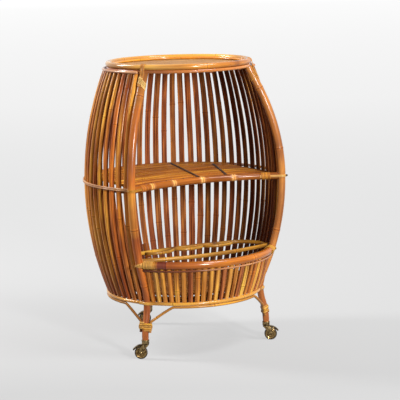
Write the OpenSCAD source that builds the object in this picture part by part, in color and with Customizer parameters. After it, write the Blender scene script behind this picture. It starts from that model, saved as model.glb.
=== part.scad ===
// Mobile bar: a barrel of wall canes on a bent pole frame, open at the front, on three brass casters.
// The opening faces -Y, +Z is up, and the origin is on the floor under the middle of the whole part.

/* [Overall] */
// Height from the floor to the top of the rim
height = 1080; // [1040:5:1140]
// Angle from the middle of the opening to each front pole
opening_half = 56; // [52:1:60]
// Running or laying clearance between pieces that touch
seat_gap = 0.3; // [0.2:0.05:0.5]

/* [Wall] */
// Radius over the wall canes at the belly
belly_r = 367.5; // [355:0.5:380]
// Height of the belly above the floor
belly_z = 616; // [600:1:632]
// How far the outside of the wall stands out from the middle of the rim at the top
wall_top_stand = 20; // [17:0.5:23]
// Diameter of a wall cane before it is split
wall_cane_d = 23; // [20:0.5:24]
// Thickness of a wall cane, split with its flat side inward
wall_cane_t = 11; // [9:0.5:11.5]
// Wall canes from front pole to front pole round the back
wall_cane_count = 43; // [37:2:43]
// Space between the middle of a front pole and the first wall cane, in degrees
wall_start = 5.6; // [5.4:0.1:6.5]
// Diameter of a basket cane before it is split
basket_cane_d = 20.5; // [18:0.5:21]
// Thickness of a basket cane, split with its flat side inward
basket_cane_t = 9.5; // [8:0.5:10]
// Basket canes between the front poles
basket_cane_count = 23; // [19:2:23]

/* [Poles] */
// Diameter of a front pole above the shelf
pole_d = 30; // [27:0.5:31]
// Diameter of a pole below the shelf
low_pole_d = 28; // [26:0.5:29]
// Diameter of a leg below the waist
leg_d = 25.5; // [24:0.5:27]
// How far a front pole stands out from the wall canes at the belly
pole_stand = 12.5; // [9:0.5:16]
// Height of a front pole's belly
pole_belly_z = 632; // [615:1:645]
// Length of the straight top of a front pole
pole_straight = 89; // [60:1:120]
// How far the middle of a front pole lies inside the middle of the rim at the top
pole_top_set = 2.6; // [1:0.1:4]
// Height of the waist, where a pole is nearest to the barrel's axis
waist_z = 205.3; // [200:0.1:212]
// Bend radius of a pole at its waist
waist_bow = 170; // [150:5:200]
// Outward turn of a leg below the waist in degrees
leg_turn = 17; // [14:0.5:19]
// Height of the top of the rear leg
rear_leg_top_z = 325; // [310:1:340]
// Height of a knot ridge on a pole
knot_proud = 1.3; // [0.8:0.1:2]
// Taper from one length of a bent cane to the next, on the diameter
taper = 0.6; // [0.4:0.1:1]

/* [Top] */
// Radius to the middle of the rim hoop
rim_r = 264; // [258:1:270]
// Diameter of the rim hoop
rim_d = 20; // [18:0.5:24]
// Diameter of the hoop under the rim
under_hoop_d = 13; // [11:0.5:15]
// Diameter of the thin hoop inside the rim
inner_hoop_d = 9; // [7:0.5:10]
// Diameter of the trim hoop on the ends of the wall canes
trim_d = 9; // [7:0.5:10]
// Width of a split cane of the top
top_cane_w = 12; // [10:0.5:16]
// Thickness of a split cane of the top
top_cane_t = 5; // [4:0.5:6]
// Diameter of a bearer under the top
top_bearer_d = 14; // [12:0.5:18]

/* [Shelf] */
// Height of the middle of the shelf's front rail
shelf_z = 635; // [626:1:646]
// Diameter of the shelf's front rail
shelf_rail_d = 25; // [22:0.5:27]
// How far the shelf rail bows in from the line between the poles
shelf_rail_set = 80; // [65:1:90]
// Diameter of a shelf cane
shelf_cane_d = 12; // [10:0.5:14]
// Space between the edges of two shelf canes
shelf_cane_gap = 1.4; // [0.8:0.1:3]
// Diameter of the hoop and bearers that carry the shelf canes
shelf_hoop_d = 14; // [12:0.5:16]
// Diameter of one strand of the belly hoop outside the wall
belly_strand_d = 5.6; // [4.5:0.1:6.5]

/* [Basket] */
// Height of the middle of the basket's front rail
basket_rail_z = 357; // [345:1:365]
// How far the middle of that rail lies inside the outside of the basket canes
basket_rail_set = 5; // [3:0.5:7]
// Diameter of the basket's front rail
basket_rail_d = 28; // [25:0.5:28]
// Diameter of the thin cane under the basket rail
basket_trim_d = 7; // [5:0.5:8]
// Diameter of the hoop at the foot of the wall
base_hoop_d = 13; // [11:0.5:14]
// How far the middle of that hoop lies inside the outside of the wall canes
foot_set = 3; // [2:0.1:4.5]
// Diameter of the floor canes and of the hoop that carries them
floor_cane_d = 12; // [10:0.5:14]
// Distance from one floor cane to the next
floor_pitch = 34; // [30:1:50]

/* [Bottle rack] */
// Height of the middle of the rack
rack_z = 366; // [362:1:372]
// How far the rack's front rail bows forward from the line between its ends
rack_front_set = 55; // [45:1:65]
// Distance from the rack's front rail to its back rail
rack_deep = 188; // [175:1:195]
// Diameter of the rack's front and back rails
rack_rail_d = 15; // [13:0.5:16]
// Diameter of the scalloped cane
scallop_d = 11; // [9:0.5:12]
// Width of one scallop
scallop_w = 125; // [115:1:130]
// Depth of one scallop
scallop_deep = 26; // [18:1:32]

/* [Braces and binding] */
// Diameter of a brace cane
brace_d = 10; // [8:0.5:12]
// Angle round the barrel in which a brace climbs from a leg to the base hoop
brace_climb = 20; // [17:1:24]
// Height of the middle of a leg's binding
leg_binding_z = 121; // [115:1:128]
// Width of the cane strip used for binding
strip_w = 6.2; // [5:0.1:7]
// Thickness of that strip
strip_t = 1.6; // [1.2:0.1:2]
// Space between two turns of the strip
strip_gap = 0.8; // [0.6:0.1:1.5]
// Turns of strip round a leg
leg_binding_turns = 4; // [3:1:4]
// Turns of strip round the end of a rail
rail_binding_turns = 4; // [3:1:4]
// Turns of strip round the top of a pole
pole_binding_turns = 3; // [2:1:4]
// Width of the strap over the rim under those turns
strap_w = 16; // [12:1:18]
// Width of the strap that ties a rail to a pole
rail_strap_w = 9; // [7:0.5:12]

/* [Casters] */
// Diameter of a caster wheel
wheel_d = 48; // [44:1:50]
// Width of a caster wheel
wheel_w = 14; // [12:0.5:16]
// Distance from the swivel axis to the wheel's axle
caster_trail = 17; // [14:0.5:19]
// Height from the floor to the foot of a leg's socket
caster_h = 56; // [54:0.5:60]
// Length of the leg's socket
socket_h = 16; // [13:0.5:20]
// Wall of the leg's socket
socket_wall = 1.8; // [1.2:0.1:2.5]
// Diameter of the swivel stem
stem_d = 10; // [8:0.5:11]
// Diameter of the axle
axle_d = 5; // [4:0.5:6]
// Radial clearance of a turning fit
running_gap = 0.05; // [0.02:0.01:0.1]
// Direction in which the left front caster trails, in degrees from +X
left_heading = 152; // [0:1:359]
// Direction in which the right front caster trails
right_heading = 332; // [0:1:359]
// Direction in which the rear caster trails
rear_heading = 152; // [0:1:359]

/* [Hidden] */

// Facets of a cane's section and of a bow; both are true curves in the solid
round_fn = 32;
bow_fn = 240;
// How far a cutting shape reaches past what it cuts
over = 1;
// Reach of one bow inside the next, as arc length times 180 / pi
lap = 2 * 180 / PI;

// Heights at the top: the rim lies on the under hoop, which lies on the sawn ends of the poles
rim_z = height - rim_d / 2;
under_hoop_z = height - rim_d - under_hoop_d / 2 - seat_gap;
wall_top_z = under_hoop_z - under_hoop_d / 2 - seat_gap;
// The bow of the wall canes runs from the belly to the rim
wall_drop = belly_r - rim_r - wall_top_stand;
bow_r = (pow(wall_top_z - belly_z, 2) + pow(wall_drop, 2)) / (2 * wall_drop);

// Radius over the wall canes at height z
function wall_out(z) = belly_r - bow_r + sqrt(pow(bow_r, 2) - pow(z - belly_z, 2));
// Radius to the flat inside of a wall cane at height z
function wall_in(z) = belly_r - bow_r + sqrt(pow(bow_r - wall_cane_t, 2) - pow(z - belly_z, 2));

// Pole: four bows that run into each other, given as [radius, height] of their centres
pole_belly_r = belly_r + pole_stand;
pole_rise = wall_top_z - pole_belly_z;
pole_high_turn = 2 * atan((pole_belly_r - rim_r + pole_top_set) / (pole_rise + pole_straight));
pole_high_bow = (pole_rise - pole_straight * cos(pole_high_turn)) / sin(pole_high_turn);
waist_r = wall_out(waist_z + base_hoop_d / 2 + seat_gap) - foot_set;
pole_low_turn = 2 * atan((pole_belly_r - waist_r) / (pole_belly_z - waist_z));
pole_low_bow = (pole_belly_z - waist_z) / sin(pole_low_turn) - waist_bow;
high_centre = [pole_belly_r - pole_high_bow, pole_belly_z];
low_centre = [pole_belly_r - pole_low_bow, pole_belly_z];
waist_centre = low_centre + (pole_low_bow + waist_bow) * [cos(pole_low_turn), -sin(pole_low_turn)];
leg_top = waist_centre - waist_bow * [cos(leg_turn), sin(leg_turn)];
socket_top_z = caster_h + socket_h;
leg_bow = (leg_top[1] - socket_top_z - seat_gap) / sin(leg_turn);
leg_centre = leg_top - leg_bow * [cos(leg_turn), sin(leg_turn)];
leg_r = leg_centre[0] + leg_bow;
high_end = high_centre + pole_high_bow * [cos(pole_high_turn), sin(pole_high_turn)];

function pole_r_at(z) = z >= high_end[1] ? high_end[0] - (z - high_end[1]) * tan(pole_high_turn)
    : z >= pole_belly_z ? high_centre[0] + sqrt(pow(pole_high_bow, 2) - pow(z - high_centre[1], 2))
    : z >= pole_belly_z - pole_low_bow * sin(pole_low_turn)
        ? low_centre[0] + sqrt(pow(pole_low_bow, 2) - pow(z - low_centre[1], 2))
    : z >= leg_top[1] ? waist_centre[0] - sqrt(pow(waist_bow, 2) - pow(z - waist_z, 2))
    : z >= socket_top_z ? leg_centre[0] + sqrt(pow(leg_bow, 2) - pow(z - leg_centre[1], 2))
    : leg_r;

left_a = -opening_half;
right_a = opening_half;
rear_a = 180;

// Rim and top
trim_z = wall_top_z + seat_gap + trim_d / 2;
trim_r = wall_out(wall_top_z) - 0.8;
inner_hoop_r = rim_r - rim_d / 2 - inner_hoop_d / 2 - seat_gap;
inner_hoop_z = rim_z - 4;
top_z = inner_hoop_z - inner_hoop_d / 2 - seat_gap;
top_r = rim_r - under_hoop_d / 2 - 2 * seat_gap;
top_bearer_z = top_z - top_cane_t - seat_gap - top_bearer_d / 2;
top_bearer_x = 150;

// Foot of the wall
base_top_z = waist_z + base_hoop_d / 2 + seat_gap;
base_inner_z = base_top_z + floor_cane_d;
base_inner_r = min(wall_in(base_inner_z - floor_cane_d / 2), pole_r_at(base_inner_z) - leg_d / 2) - floor_cane_d / 2 - seat_gap;
floor_z = base_inner_z + floor_cane_d + seat_gap;
floor_r = min(wall_in(floor_z), pole_r_at(floor_z) - low_pole_d / 2) - 1.5;
floor_bearer_y = 100;

// Wall cane spacing
wall_pitch = 2 * (180 - opening_half - wall_start) / (wall_cane_count - 1);
side_count = (wall_cane_count - 15) / 2;
basket_start = 4.9;
basket_pitch = 2 * (opening_half - basket_start) / (basket_cane_count - 1);
basket_rail_r = wall_out(basket_rail_z) - basket_rail_set;
basket_top_z = basket_rail_z - basket_rail_d / 2 - seat_gap;
// The canes under the rail's binding, and the trim, leave room for it
basket_low_z = basket_top_z - strip_t - 3 * seat_gap;
basket_trim_z = basket_low_z - basket_trim_d / 2;

// Whole part: the barrel's axis is shifted so that the origin is under the middle of the box
belly_hoop_r = belly_r + seat_gap + belly_strand_d / 2;
back_reach = belly_hoop_r + belly_strand_d / 2;
front_reach = basket_rail_r + basket_rail_d / 2;
axis_y = (front_reach - back_reach) / 2;

// Shelf
pole_x = pole_r_at(shelf_z) * sin(opening_half);
pole_y = -pole_r_at(shelf_z) * cos(opening_half);
shelf_rail_y = pole_y + shelf_rail_set;
shelf_bow = (pow(pole_x, 2) + pow(shelf_rail_set, 2)) / (2 * shelf_rail_set);
shelf_bow_y = shelf_rail_y - shelf_bow;
shelf_hoop_z = shelf_z - shelf_rail_d / 2 + 2;
shelf_hoop_r = wall_in(shelf_hoop_z) - shelf_hoop_d / 2 - seat_gap - 0.6;
shelf_cane_z = shelf_hoop_z + shelf_hoop_d / 2 + shelf_cane_d / 2 + seat_gap;
shelf_cane_r = wall_in(shelf_cane_z) - 2;
shelf_first = shelf_bow + shelf_rail_d / 2 + knot_proud + shelf_cane_d / 2 + seat_gap;
shelf_pitch = shelf_cane_d + shelf_cane_gap;
shelf_cane_count = floor((shelf_cane_r - shelf_bow_y - shelf_first - shelf_cane_d / 2) / shelf_pitch) + 1;
shelf_bearer_x = 150;
batten_w = 10;
batten_t = 3;
// Each batten runs between two points [x, y] on the shelf canes
batten_lines = [[[16, -110], [106, 290]], [[128, -120], [232, 170]]];

// Bottle rack
rack_end_a = opening_half + wall_start;
rack_end_x = wall_in(rack_z) * sin(rack_end_a);
rack_front_y = -wall_in(rack_z) * cos(rack_end_a) - rack_front_set;
rack_front_bow = (pow(rack_end_x, 2) + pow(rack_front_set, 2)) / (2 * rack_front_set);
rack_back_y = rack_front_y + rack_deep;
rack_back_bow = 1400;
rack_side_gap = 3;
rack_corner_bow = 96;
rack_corner_turn = 104;
rack_back_half = rack_end_x - rack_corner_bow - rack_side_gap;
scallop_count = 3;
chord_half = scallop_w / 2;
scallop_bow = (pow(chord_half, 2) + pow(scallop_deep, 2)) / (2 * scallop_deep);

// Binding
strip_pitch = strip_w + strip_gap;
band_steps = 20;
// How far the straps of the shelf rail reach along it from the middle of a pole
strap_reach = 84;
// How far the straps of the basket rail reach along it
basket_strap_reach = 62;

// Casters
wheel_r = wheel_d / 2;
hub_d = wheel_d - 8;
crown_t = 5;
crown_gap = 0.5;
crown_d = 25;
arm_t = 2.4;
arm_gap = 1;
arm_y = wheel_w / 2 + arm_gap;
axle_head_d = 8.4;
axle_head_t = 1.6;
stem_top_z = socket_top_z + 10;
hood_bow = 45;
hood_x = 11;
hood_z = caster_h - crown_gap - hood_bow;
hood_t = 1.8;
hood_from = 36;
hood_to = 98;
hood_w = 2 * (arm_y + arm_t);
foot_d = leg_d - 2;
socket_d = foot_d + 2 * socket_wall + 2 * seat_gap;

// Radial frame at angle a: +X points away from the barrel's axis
module radial(a) { translate([0, axis_y, 0]) rotate([0, 0, a - 90]) children(); }

// Bow in the radial plane about [r, z], from angle a0 to a1 above the level
module bow(centre, r, a0, a1, d) {
    translate([centre[0], 0, centre[1]]) rotate([90, 0, 0]) rotate([0, 0, a0])
        rotate_extrude(angle = a1 - a0, $fn = bow_fn) translate([r, 0]) circle(d = d, $fn = round_fn);
}

// Level hoop round the barrel's axis, from angle a0 to a1
module hoop(r, z, d, a0 = 0, a1 = 360) {
    translate([0, axis_y, z]) rotate([0, 0, a0 - 90])
        rotate_extrude(angle = a1 - a0, $fn = bow_fn) translate([r, 0]) circle(d = d, $fn = round_fn);
}

// Level bow about the point c, whose middle points along heading and which turns half to each side
module level_bow(c, r, heading, half, d) {
    translate(c) rotate([0, 0, heading - half])
        rotate_extrude(angle = 2 * half, $fn = bow_fn) translate([r, 0]) circle(d = d, $fn = round_fn);
}

// Ridge of a knot round a cane that runs along Z
module ridge(d) {
    rotate_extrude($fn = 48) polygon([
        [0, -3.4], [d / 2 - 0.4, -3.4], [d / 2 + knot_proud, -0.7],
        [d / 2 + knot_proud, 0.7], [d / 2 - 0.4, 3.4], [0, 3.4]]);
}
// The same at [r, z] on the middle of a pole, tilted with it
module knot(p, tilt, d) { translate([p[0], 0, p[1]]) rotate([0, tilt, 0]) ridge(d); }
module high_knot(turn) {
    knot(high_centre + pole_high_bow * [cos(turn), sin(turn)], -turn, pole_d);
}
module low_knot(turn, d = low_pole_d) {
    knot(low_centre + pole_low_bow * [cos(turn), -sin(turn)], turn, d);
}

// Everything of a pole below the turn given, down to its turned foot in the socket
module lower_pole(from_turn) {
    bow(low_centre, pole_low_bow, -pole_low_turn, -from_turn, low_pole_d);
    bow(waist_centre, waist_bow, 180 - pole_low_turn - lap / waist_bow, 180 + leg_turn, leg_d);
    bow(leg_centre, leg_bow, 0, leg_turn + lap / leg_bow, leg_d - taper);
    translate([leg_r, 0, caster_h + crown_t + seat_gap])
        cylinder(d = foot_d, h = socket_h - crown_t + 3, $fn = 48);
}
module stem_hole() {
    translate([leg_r, 0, caster_h - over]) cylinder(d = stem_d + 1, h = stem_top_z + 2 - caster_h + over, $fn = 48);
}

module front_pole(knots_above, knots_below) {
    difference() {
        union() {
            bow(high_centre, pole_high_bow, 0, pole_high_turn, pole_d);
            translate([high_end[0], 0, high_end[1]]) rotate([0, -pole_high_turn, 0]) translate([0, 0, -2])
                cylinder(d = pole_d - taper, h = (wall_top_z - high_end[1]) / cos(pole_high_turn) + pole_d, $fn = 48);
            lower_pole(-lap / pole_low_bow);
            high_knot(pole_high_turn);
            for (t = knots_above) high_knot(t);
            for (t = knots_below) low_knot(t);
            low_knot(pole_low_turn);
        }
        translate([0, -pole_d, wall_top_z]) cube([2 * rim_r, 2 * pole_d, 4 * pole_d]);
        stem_hole();
    }
}

module left_pole() { color("peru") radial(left_a) front_pole([], [9]); }
module right_pole() { color("peru") radial(right_a) front_pole([8.2], [13]); }

module rear_leg() {
    color("peru") radial(rear_a) difference() {
        union() {
            lower_pole(asin((pole_belly_z - rear_leg_top_z) / pole_low_bow) - 1);
            low_knot(pole_low_turn, low_pole_d);
        }
        translate([0, -low_pole_d, rear_leg_top_z]) cube([2 * rim_r, 2 * low_pole_d, 2 * low_pole_d]);
        stem_hole();
    }
}

// Split cane of the wall or basket, flat inside and sawn level at both ends
module stave(a, z0, z1, d, t) {
    from = -asin((belly_z - z0 + d) / bow_r);
    to = asin((z1 + d - belly_z) / bow_r);
    radial(a) intersection() {
        translate([belly_r - bow_r, 0, belly_z]) rotate([90, 0, 0]) rotate([0, 0, from])
            rotate_extrude(angle = to - from, $fn = bow_fn) intersection() {
                translate([bow_r - d / 2, 0]) circle(d = d, $fn = round_fn);
                translate([bow_r - t, -d]) square([d, 2 * d]);
            }
        translate([0, -d, z0]) cube([2 * belly_r, 2 * d, z1 - z0]);
    }
}
module wall_canes(first, last, z0 = base_top_z) {
    for (k = [first:last]) stave(rear_a + k * wall_pitch, k == 0 ? rear_leg_top_z + seat_gap : z0, wall_top_z, wall_cane_d, wall_cane_t);
}
module left_wall_canes() { color("sienna") wall_canes(8, 7 + side_count); }
module rear_wall_canes() { color("peru") wall_canes(-7, 7); }
module right_wall_canes() { color("sienna") wall_canes(-7 - side_count, -8); }

module basket_canes() {
    color("goldenrod") for (k = [0:basket_cane_count - 1])
        stave(left_a + basket_start + k * basket_pitch, base_top_z,
            min(k, basket_cane_count - 1 - k) < 2 ? basket_low_z : basket_top_z, basket_cane_d, basket_cane_t);
}

module rim_hoop() { color("goldenrod") hoop(rim_r, rim_z, rim_d); }
module under_hoop() { color("sandybrown") hoop(rim_r, under_hoop_z, under_hoop_d); }
module inner_hoop() { color("burlywood") hoop(inner_hoop_r, inner_hoop_z, inner_hoop_d); }
module wall_trim() {
    color("rosybrown") hoop(trim_r, trim_z, trim_d, right_a + wall_start - 2, 360 + left_a - wall_start + 2);
}

// Split canes side by side, flat above, cut to the round of the rim
module top_canes() {
    count = 2 * floor(top_r / top_cane_w) + 1;
    step = 2 * top_r / count;
    bevel = 1.2;
    color("tan") translate([0, axis_y, 0]) intersection() {
        for (i = [0:count - 1]) translate([0, (i - (count - 1) / 2) * step, top_z - top_cane_t])
            rotate([90, 0, 90]) linear_extrude(height = 2 * top_r, center = true) polygon([
                [-step / 2 + seat_gap, 0], [step / 2 - seat_gap, 0],
                [step / 2 - seat_gap, top_cane_t - bevel], [step / 2 - seat_gap - bevel, top_cane_t],
                [-step / 2 + seat_gap + bevel, top_cane_t], [-step / 2 + seat_gap, top_cane_t - bevel]]);
        translate([0, 0, top_z - 2 * top_cane_t]) cylinder(r = top_r, h = 3 * top_cane_t, $fn = bow_fn);
    }
}
module top_bearers() {
    color("peru") for (x = [-top_bearer_x, 0, top_bearer_x]) {
        half = sqrt(pow(top_r, 2) - pow(abs(x) + top_bearer_d / 2, 2));
        translate([x, axis_y - half, top_bearer_z]) rotate([-90, 0, 0]) cylinder(d = top_bearer_d, h = 2 * half, $fn = 32);
    }
}

// Two thin strands, one on the other, round the outside of the wall from pole to pole
module belly_hoop() {
    stop = asin((pole_d / 2 + strip_t + 3 * seat_gap) / belly_hoop_r);
    color("wheat") for (s = [-1, 1])
        hoop(belly_hoop_r, shelf_z + s * (belly_strand_d + seat_gap) / 2, belly_strand_d, right_a + stop, 360 + left_a - stop);
}
module shelf_hoop() {
    color("saddlebrown") hoop(shelf_hoop_r, shelf_hoop_z, shelf_hoop_d, right_a + 5, 360 + left_a - 5);
}
// Room for a pole of diameter d where it passes height z
module pole_cope(a, z, d) {
    tilt = z > pole_belly_z ? 0 : asin((pole_belly_z - z) / pole_low_bow);
    radial(a) translate([pole_r_at(z), 0, z]) rotate([0, tilt, 0])
        cylinder(d = d + 2 * seat_gap + 0.3, h = 4 * d, center = true, $fn = 64);
}
module shelf_rail() {
    half = asin(pole_x / shelf_bow) - 0.35;
    color("chocolate") difference() {
        union() {
            level_bow([0, axis_y + shelf_bow_y, shelf_z], shelf_bow, 90, half, shelf_rail_d);
            for (x = pole_x * [-0.68, -0.345, 0.05, 0.45]) translate([0, axis_y + shelf_bow_y, shelf_z])
                rotate([0, 0, -asin(x / shelf_bow)]) translate([0, shelf_bow, 0]) rotate([0, 90, 0]) ridge(shelf_rail_d);
        }
        pole_cope(left_a, shelf_z, pole_d);
        pole_cope(right_a, shelf_z, pole_d);
    }
}
// Canes that follow the bow of the rail, each as long as the round of the wall allows
module shelf_canes() {
    color("tan") for (i = [0:shelf_cane_count - 1]) {
        r = shelf_first + i * shelf_pitch;
        // Where the bow meets the wall's circle: the law of cosines about the bow's centre
        reach = acos((pow(r, 2) + pow(shelf_bow_y, 2) - pow(shelf_cane_r - shelf_cane_d / 2, 2)) / (2 * r * -shelf_bow_y));
        stop = asin((pole_x - (i == 0 ? strap_reach + 6 : pole_d / 2 + shelf_cane_d)) / r);
        level_bow([0, axis_y + shelf_bow_y, shelf_cane_z], r, 90, min(reach, stop), shelf_cane_d);
    }
}
module shelf_bearers() {
    color("saddlebrown") for (x = [-shelf_bearer_x, 0, shelf_bearer_x]) {
        y0 = shelf_bow_y + sqrt(pow(shelf_bow + shelf_rail_d / 2 + knot_proud + seat_gap, 2) - pow(abs(x) - shelf_hoop_d / 2, 2));
        y1 = sqrt(pow(shelf_hoop_r - shelf_hoop_d / 2 - seat_gap, 2) - pow(abs(x) + shelf_hoop_d / 2, 2));
        translate([x, axis_y + y0, shelf_hoop_z]) rotate([-90, 0, 0]) cylinder(d = shelf_hoop_d, h = y1 - y0, $fn = 32);
    }
}
module shelf_battens() {
    color("sienna") for (l = batten_lines) {
        d = l[1] - l[0];
        translate([l[0][0], axis_y + l[0][1], shelf_cane_z + shelf_cane_d / 2 + seat_gap])
            rotate([0, 0, atan2(d[1], d[0])]) translate([0, -batten_w / 2, 0]) cube([norm(d), batten_w, batten_t]);
    }
}

module basket_rail() {
    color("chocolate") difference() {
        hoop(basket_rail_r, basket_rail_z, basket_rail_d, left_a + 1, right_a - 1);
        pole_cope(left_a, basket_rail_z, low_pole_d);
        pole_cope(right_a, basket_rail_z, low_pole_d);
    }
}
module basket_trim() {
    r = wall_out(basket_trim_z) + basket_trim_d / 2 + seat_gap + 0.3;
    stop = asin((low_pole_d / 2 + seat_gap) / r);
    color("wheat") hoop(r, basket_trim_z, basket_trim_d, left_a + stop, right_a - stop);
}

// Three lengths of cane from leg to leg at the waist
module base_hoop() {
    stop = asin((leg_d / 2 + seat_gap) / waist_r);
    color("khaki") {
        hoop(waist_r, waist_z, base_hoop_d, left_a + stop, right_a - stop);
        hoop(waist_r, waist_z, base_hoop_d, right_a + stop, rear_a - stop);
        hoop(waist_r, waist_z, base_hoop_d, rear_a + stop, 360 + left_a - stop);
    }
}
module base_inner_hoop() { color("saddlebrown") hoop(base_inner_r, base_inner_z, floor_cane_d); }
module floor_canes() {
    count = 2 * floor((floor_r - floor_cane_d) / floor_pitch) + 1;
    color("tan") for (i = [0:count - 1]) {
        x = (i - (count - 1) / 2) * floor_pitch;
        half = sqrt(pow(floor_r, 2) - pow(abs(x) + floor_cane_d / 2, 2));
        translate([x, axis_y - half, floor_z]) rotate([-90, 0, 0]) cylinder(d = floor_cane_d, h = 2 * half, $fn = 24);
    }
}
module floor_bearers() {
    r = base_inner_r - floor_cane_d / 2 - seat_gap;
    half = sqrt(pow(r, 2) - pow(floor_bearer_y + floor_cane_d / 2, 2));
    color("saddlebrown") for (y = [-floor_bearer_y, floor_bearer_y])
        translate([-half, axis_y + y, base_inner_z]) rotate([0, 90, 0]) cylinder(d = floor_cane_d, h = 2 * half, $fn = 24);
}

module rack_front_rail() {
    half = asin((rack_end_x + rack_rail_d) / rack_front_bow);
    tilt = asin((belly_z - rack_z) / bow_r);
    color("goldenrod") difference() {
        level_bow([0, axis_y + rack_front_y + rack_front_bow, rack_z], rack_front_bow, -90, half, rack_rail_d);
        // Its ends lie flat against the first wall canes
        for (a = [left_a - wall_start, right_a + wall_start])
            radial(a) translate([wall_in(rack_z) - seat_gap, 0, rack_z]) rotate([0, tilt, 0])
                translate([0, -2 * rack_rail_d, -2 * rack_rail_d]) cube(4 * rack_rail_d);
    }
}
// Nearly straight at the back, with a bent corner at each end that comes forward to the front rail
module rack_back_rail() {
    half = asin(rack_back_half / rack_back_bow);
    c = [0, axis_y + rack_back_y - rack_back_bow, rack_z];
    color("goldenrod") difference() {
        union() {
        level_bow(c, rack_back_bow, 90, half, rack_rail_d);
        for (s = [-1, 1]) {
            corner = c + (rack_back_bow - rack_corner_bow) * [s * sin(half), cos(half), 0];
            level_bow(corner, rack_corner_bow, 90 - s * (half + (rack_corner_turn - lap / rack_corner_bow) / 2),
                (rack_corner_turn + lap / rack_corner_bow) / 2, rack_rail_d - taper);
        }
        }
        for (s = [-1, 1]) {
            t = asin((rack_end_x - 1.4 * rack_rail_d) / rack_front_bow);
            translate([0, axis_y + rack_front_y + rack_front_bow, rack_z]) rotate([0, 0, s * t])
                translate([0, -rack_front_bow, 0]) rotate([0, 90, 0])
                    cylinder(d = rack_rail_d + 2 * seat_gap + 0.2, h = 6 * rack_rail_d, center = true, $fn = 64);
        }
    }
}
// Scallops in front of the back rail; each is a bow, mitred where it meets the next
module rack_scallop() {
    slope = asin(chord_half / scallop_bow);
    step = 2 * asin(chord_half / rack_back_bow);
    tip = sqrt(pow(rack_back_bow - rack_rail_d / 2 - seat_gap, 2) - pow(chord_half, 2)) - scallop_d / 2 / cos(slope);
    room = 3 * scallop_d;
    color("goldenrod") for (i = [0:scallop_count - 1])
        translate([0, axis_y + rack_back_y - rack_back_bow, rack_z])
            rotate([0, 0, (i - (scallop_count - 1) / 2) * step]) intersection() {
                level_bow([0, tip - scallop_deep + scallop_bow, 0], scallop_bow, -90, slope + 6, scallop_d);
                translate([-chord_half + seat_gap, tip - scallop_deep - room, -room])
                    cube([scallop_w - 2 * seat_gap, scallop_deep + 2 * room, 2 * room]);
            }
}

// Tube swept along points whose tangent never lies along ref
function unit(v) = v / norm(v);
function tangent(p, i) = unit(p[min(i + 1, len(p) - 1)] - p[max(i - 1, 0)]);
module swept_tube(p, d, sides, ref) {
    n = len(p);
    ring = [for (i = [0:n - 1]) let (t = tangent(p, i), u = unit(cross(t, ref)), w = cross(t, u))
        for (j = [0:sides - 1]) p[i] + d / 2 * (cos(360 * j / sides) * u + sin(360 * j / sides) * w)];
    polyhedron(ring, concat(
        [for (i = [0:n - 2], j = [0:sides - 1]) let (k = (j + 1) % sides)
            each [[i * sides + j, i * sides + k, (i + 1) * sides + k], [i * sides + j, (i + 1) * sides + k, (i + 1) * sides + j]]],
        [for (j = [1:sides - 2]) [0, j + 1, j]],
        [for (j = [1:sides - 2]) let (b = (n - 1) * sides) [b, b + j, b + j + 1]]));
}

// A brace stands beside one leg, climbs to the underside of the base hoop, follows it and comes down again
brace_off = leg_d / 2 + brace_d / 2 + seat_gap;
brace_low_z = leg_binding_z - leg_binding_turns * strip_pitch / 2 - 8;
brace_turn_z = leg_binding_z + leg_binding_turns * strip_pitch / 2 + 2;
brace_high_z = waist_z - base_hoop_d / 2 - brace_d / 2 - seat_gap;
function bezier(p, t) = pow(1 - t, 3) * p[0] + 3 * t * pow(1 - t, 2) * p[1] + 3 * pow(t, 2) * (1 - t) * p[2] + pow(t, 3) * p[3];
// Climb as [angle from the leg, height], the angle wide enough to stand clear of the leg
brace_a = asin(brace_off / waist_r);
function climb(t) = let (a0 = brace_a, wide = brace_climb - brace_a)
    bezier([[a0, brace_turn_z], [a0 + 0.12 * wide, brace_turn_z + 18], [a0 + 0.66 * wide, brace_high_z - 5], [brace_climb, brace_high_z]], t);
function on_barrel(a, z) = [pole_r_at(z) * sin(a), axis_y - pole_r_at(z) * cos(a), z];
climb_steps = 12;
level_steps = 8;
module brace(a0, a1) {
    foot = [for (z = [brace_low_z, (brace_low_z + brace_turn_z) / 2]) z];
    p = concat(
        [for (z = foot) on_barrel(a0 + brace_a, z)],
        [for (i = [0:climb_steps]) let (c = climb(i / climb_steps)) on_barrel(a0 + c[0], c[1])],
        [for (i = [1:level_steps - 1]) on_barrel(a0 + brace_climb + (a1 - a0 - 2 * brace_climb) * i / level_steps, brace_high_z)],
        [for (i = [0:climb_steps]) let (c = climb(1 - i / climb_steps)) on_barrel(a1 - c[0], c[1])],
        [for (z = [foot[1], foot[0]]) on_barrel(a1 - brace_a, z)]);
    m = (a0 + a1) / 2;
    swept_tube(p, brace_d, 10, [sin(m), -cos(m), 0]);
}
module front_brace() { color("burlywood") brace(left_a, right_a); }
module right_brace() { color("burlywood") brace(right_a, rear_a); }
module left_brace() { color("burlywood") brace(rear_a, 360 + left_a); }

// Flat strip of width wide through points p, with n the outward direction at each point
// and w the direction of its width
module swept_strip(p, n, w, wide) {
    count = len(p);
    last = 4 * (count - 1);
    pts = [for (i = [0:count - 1]) each [
        p[i] - w[i] * wide / 2, p[i] + w[i] * wide / 2,
        p[i] + w[i] * wide / 2 + n[i] * strip_t, p[i] - w[i] * wide / 2 + n[i] * strip_t]];
    polyhedron(pts, concat(
        [for (i = [0:count - 2], j = [0:3]) let (k = (j + 1) % 4)
            each [[4 * i + j, 4 * i + 4 + k, 4 * i + k], [4 * i + j, 4 * i + 4 + j, 4 * i + 4 + k]]],
        [[0, 1, 2], [0, 2, 3], [last, last + 2, last + 1], [last, last + 3, last + 2]]));
}
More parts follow.
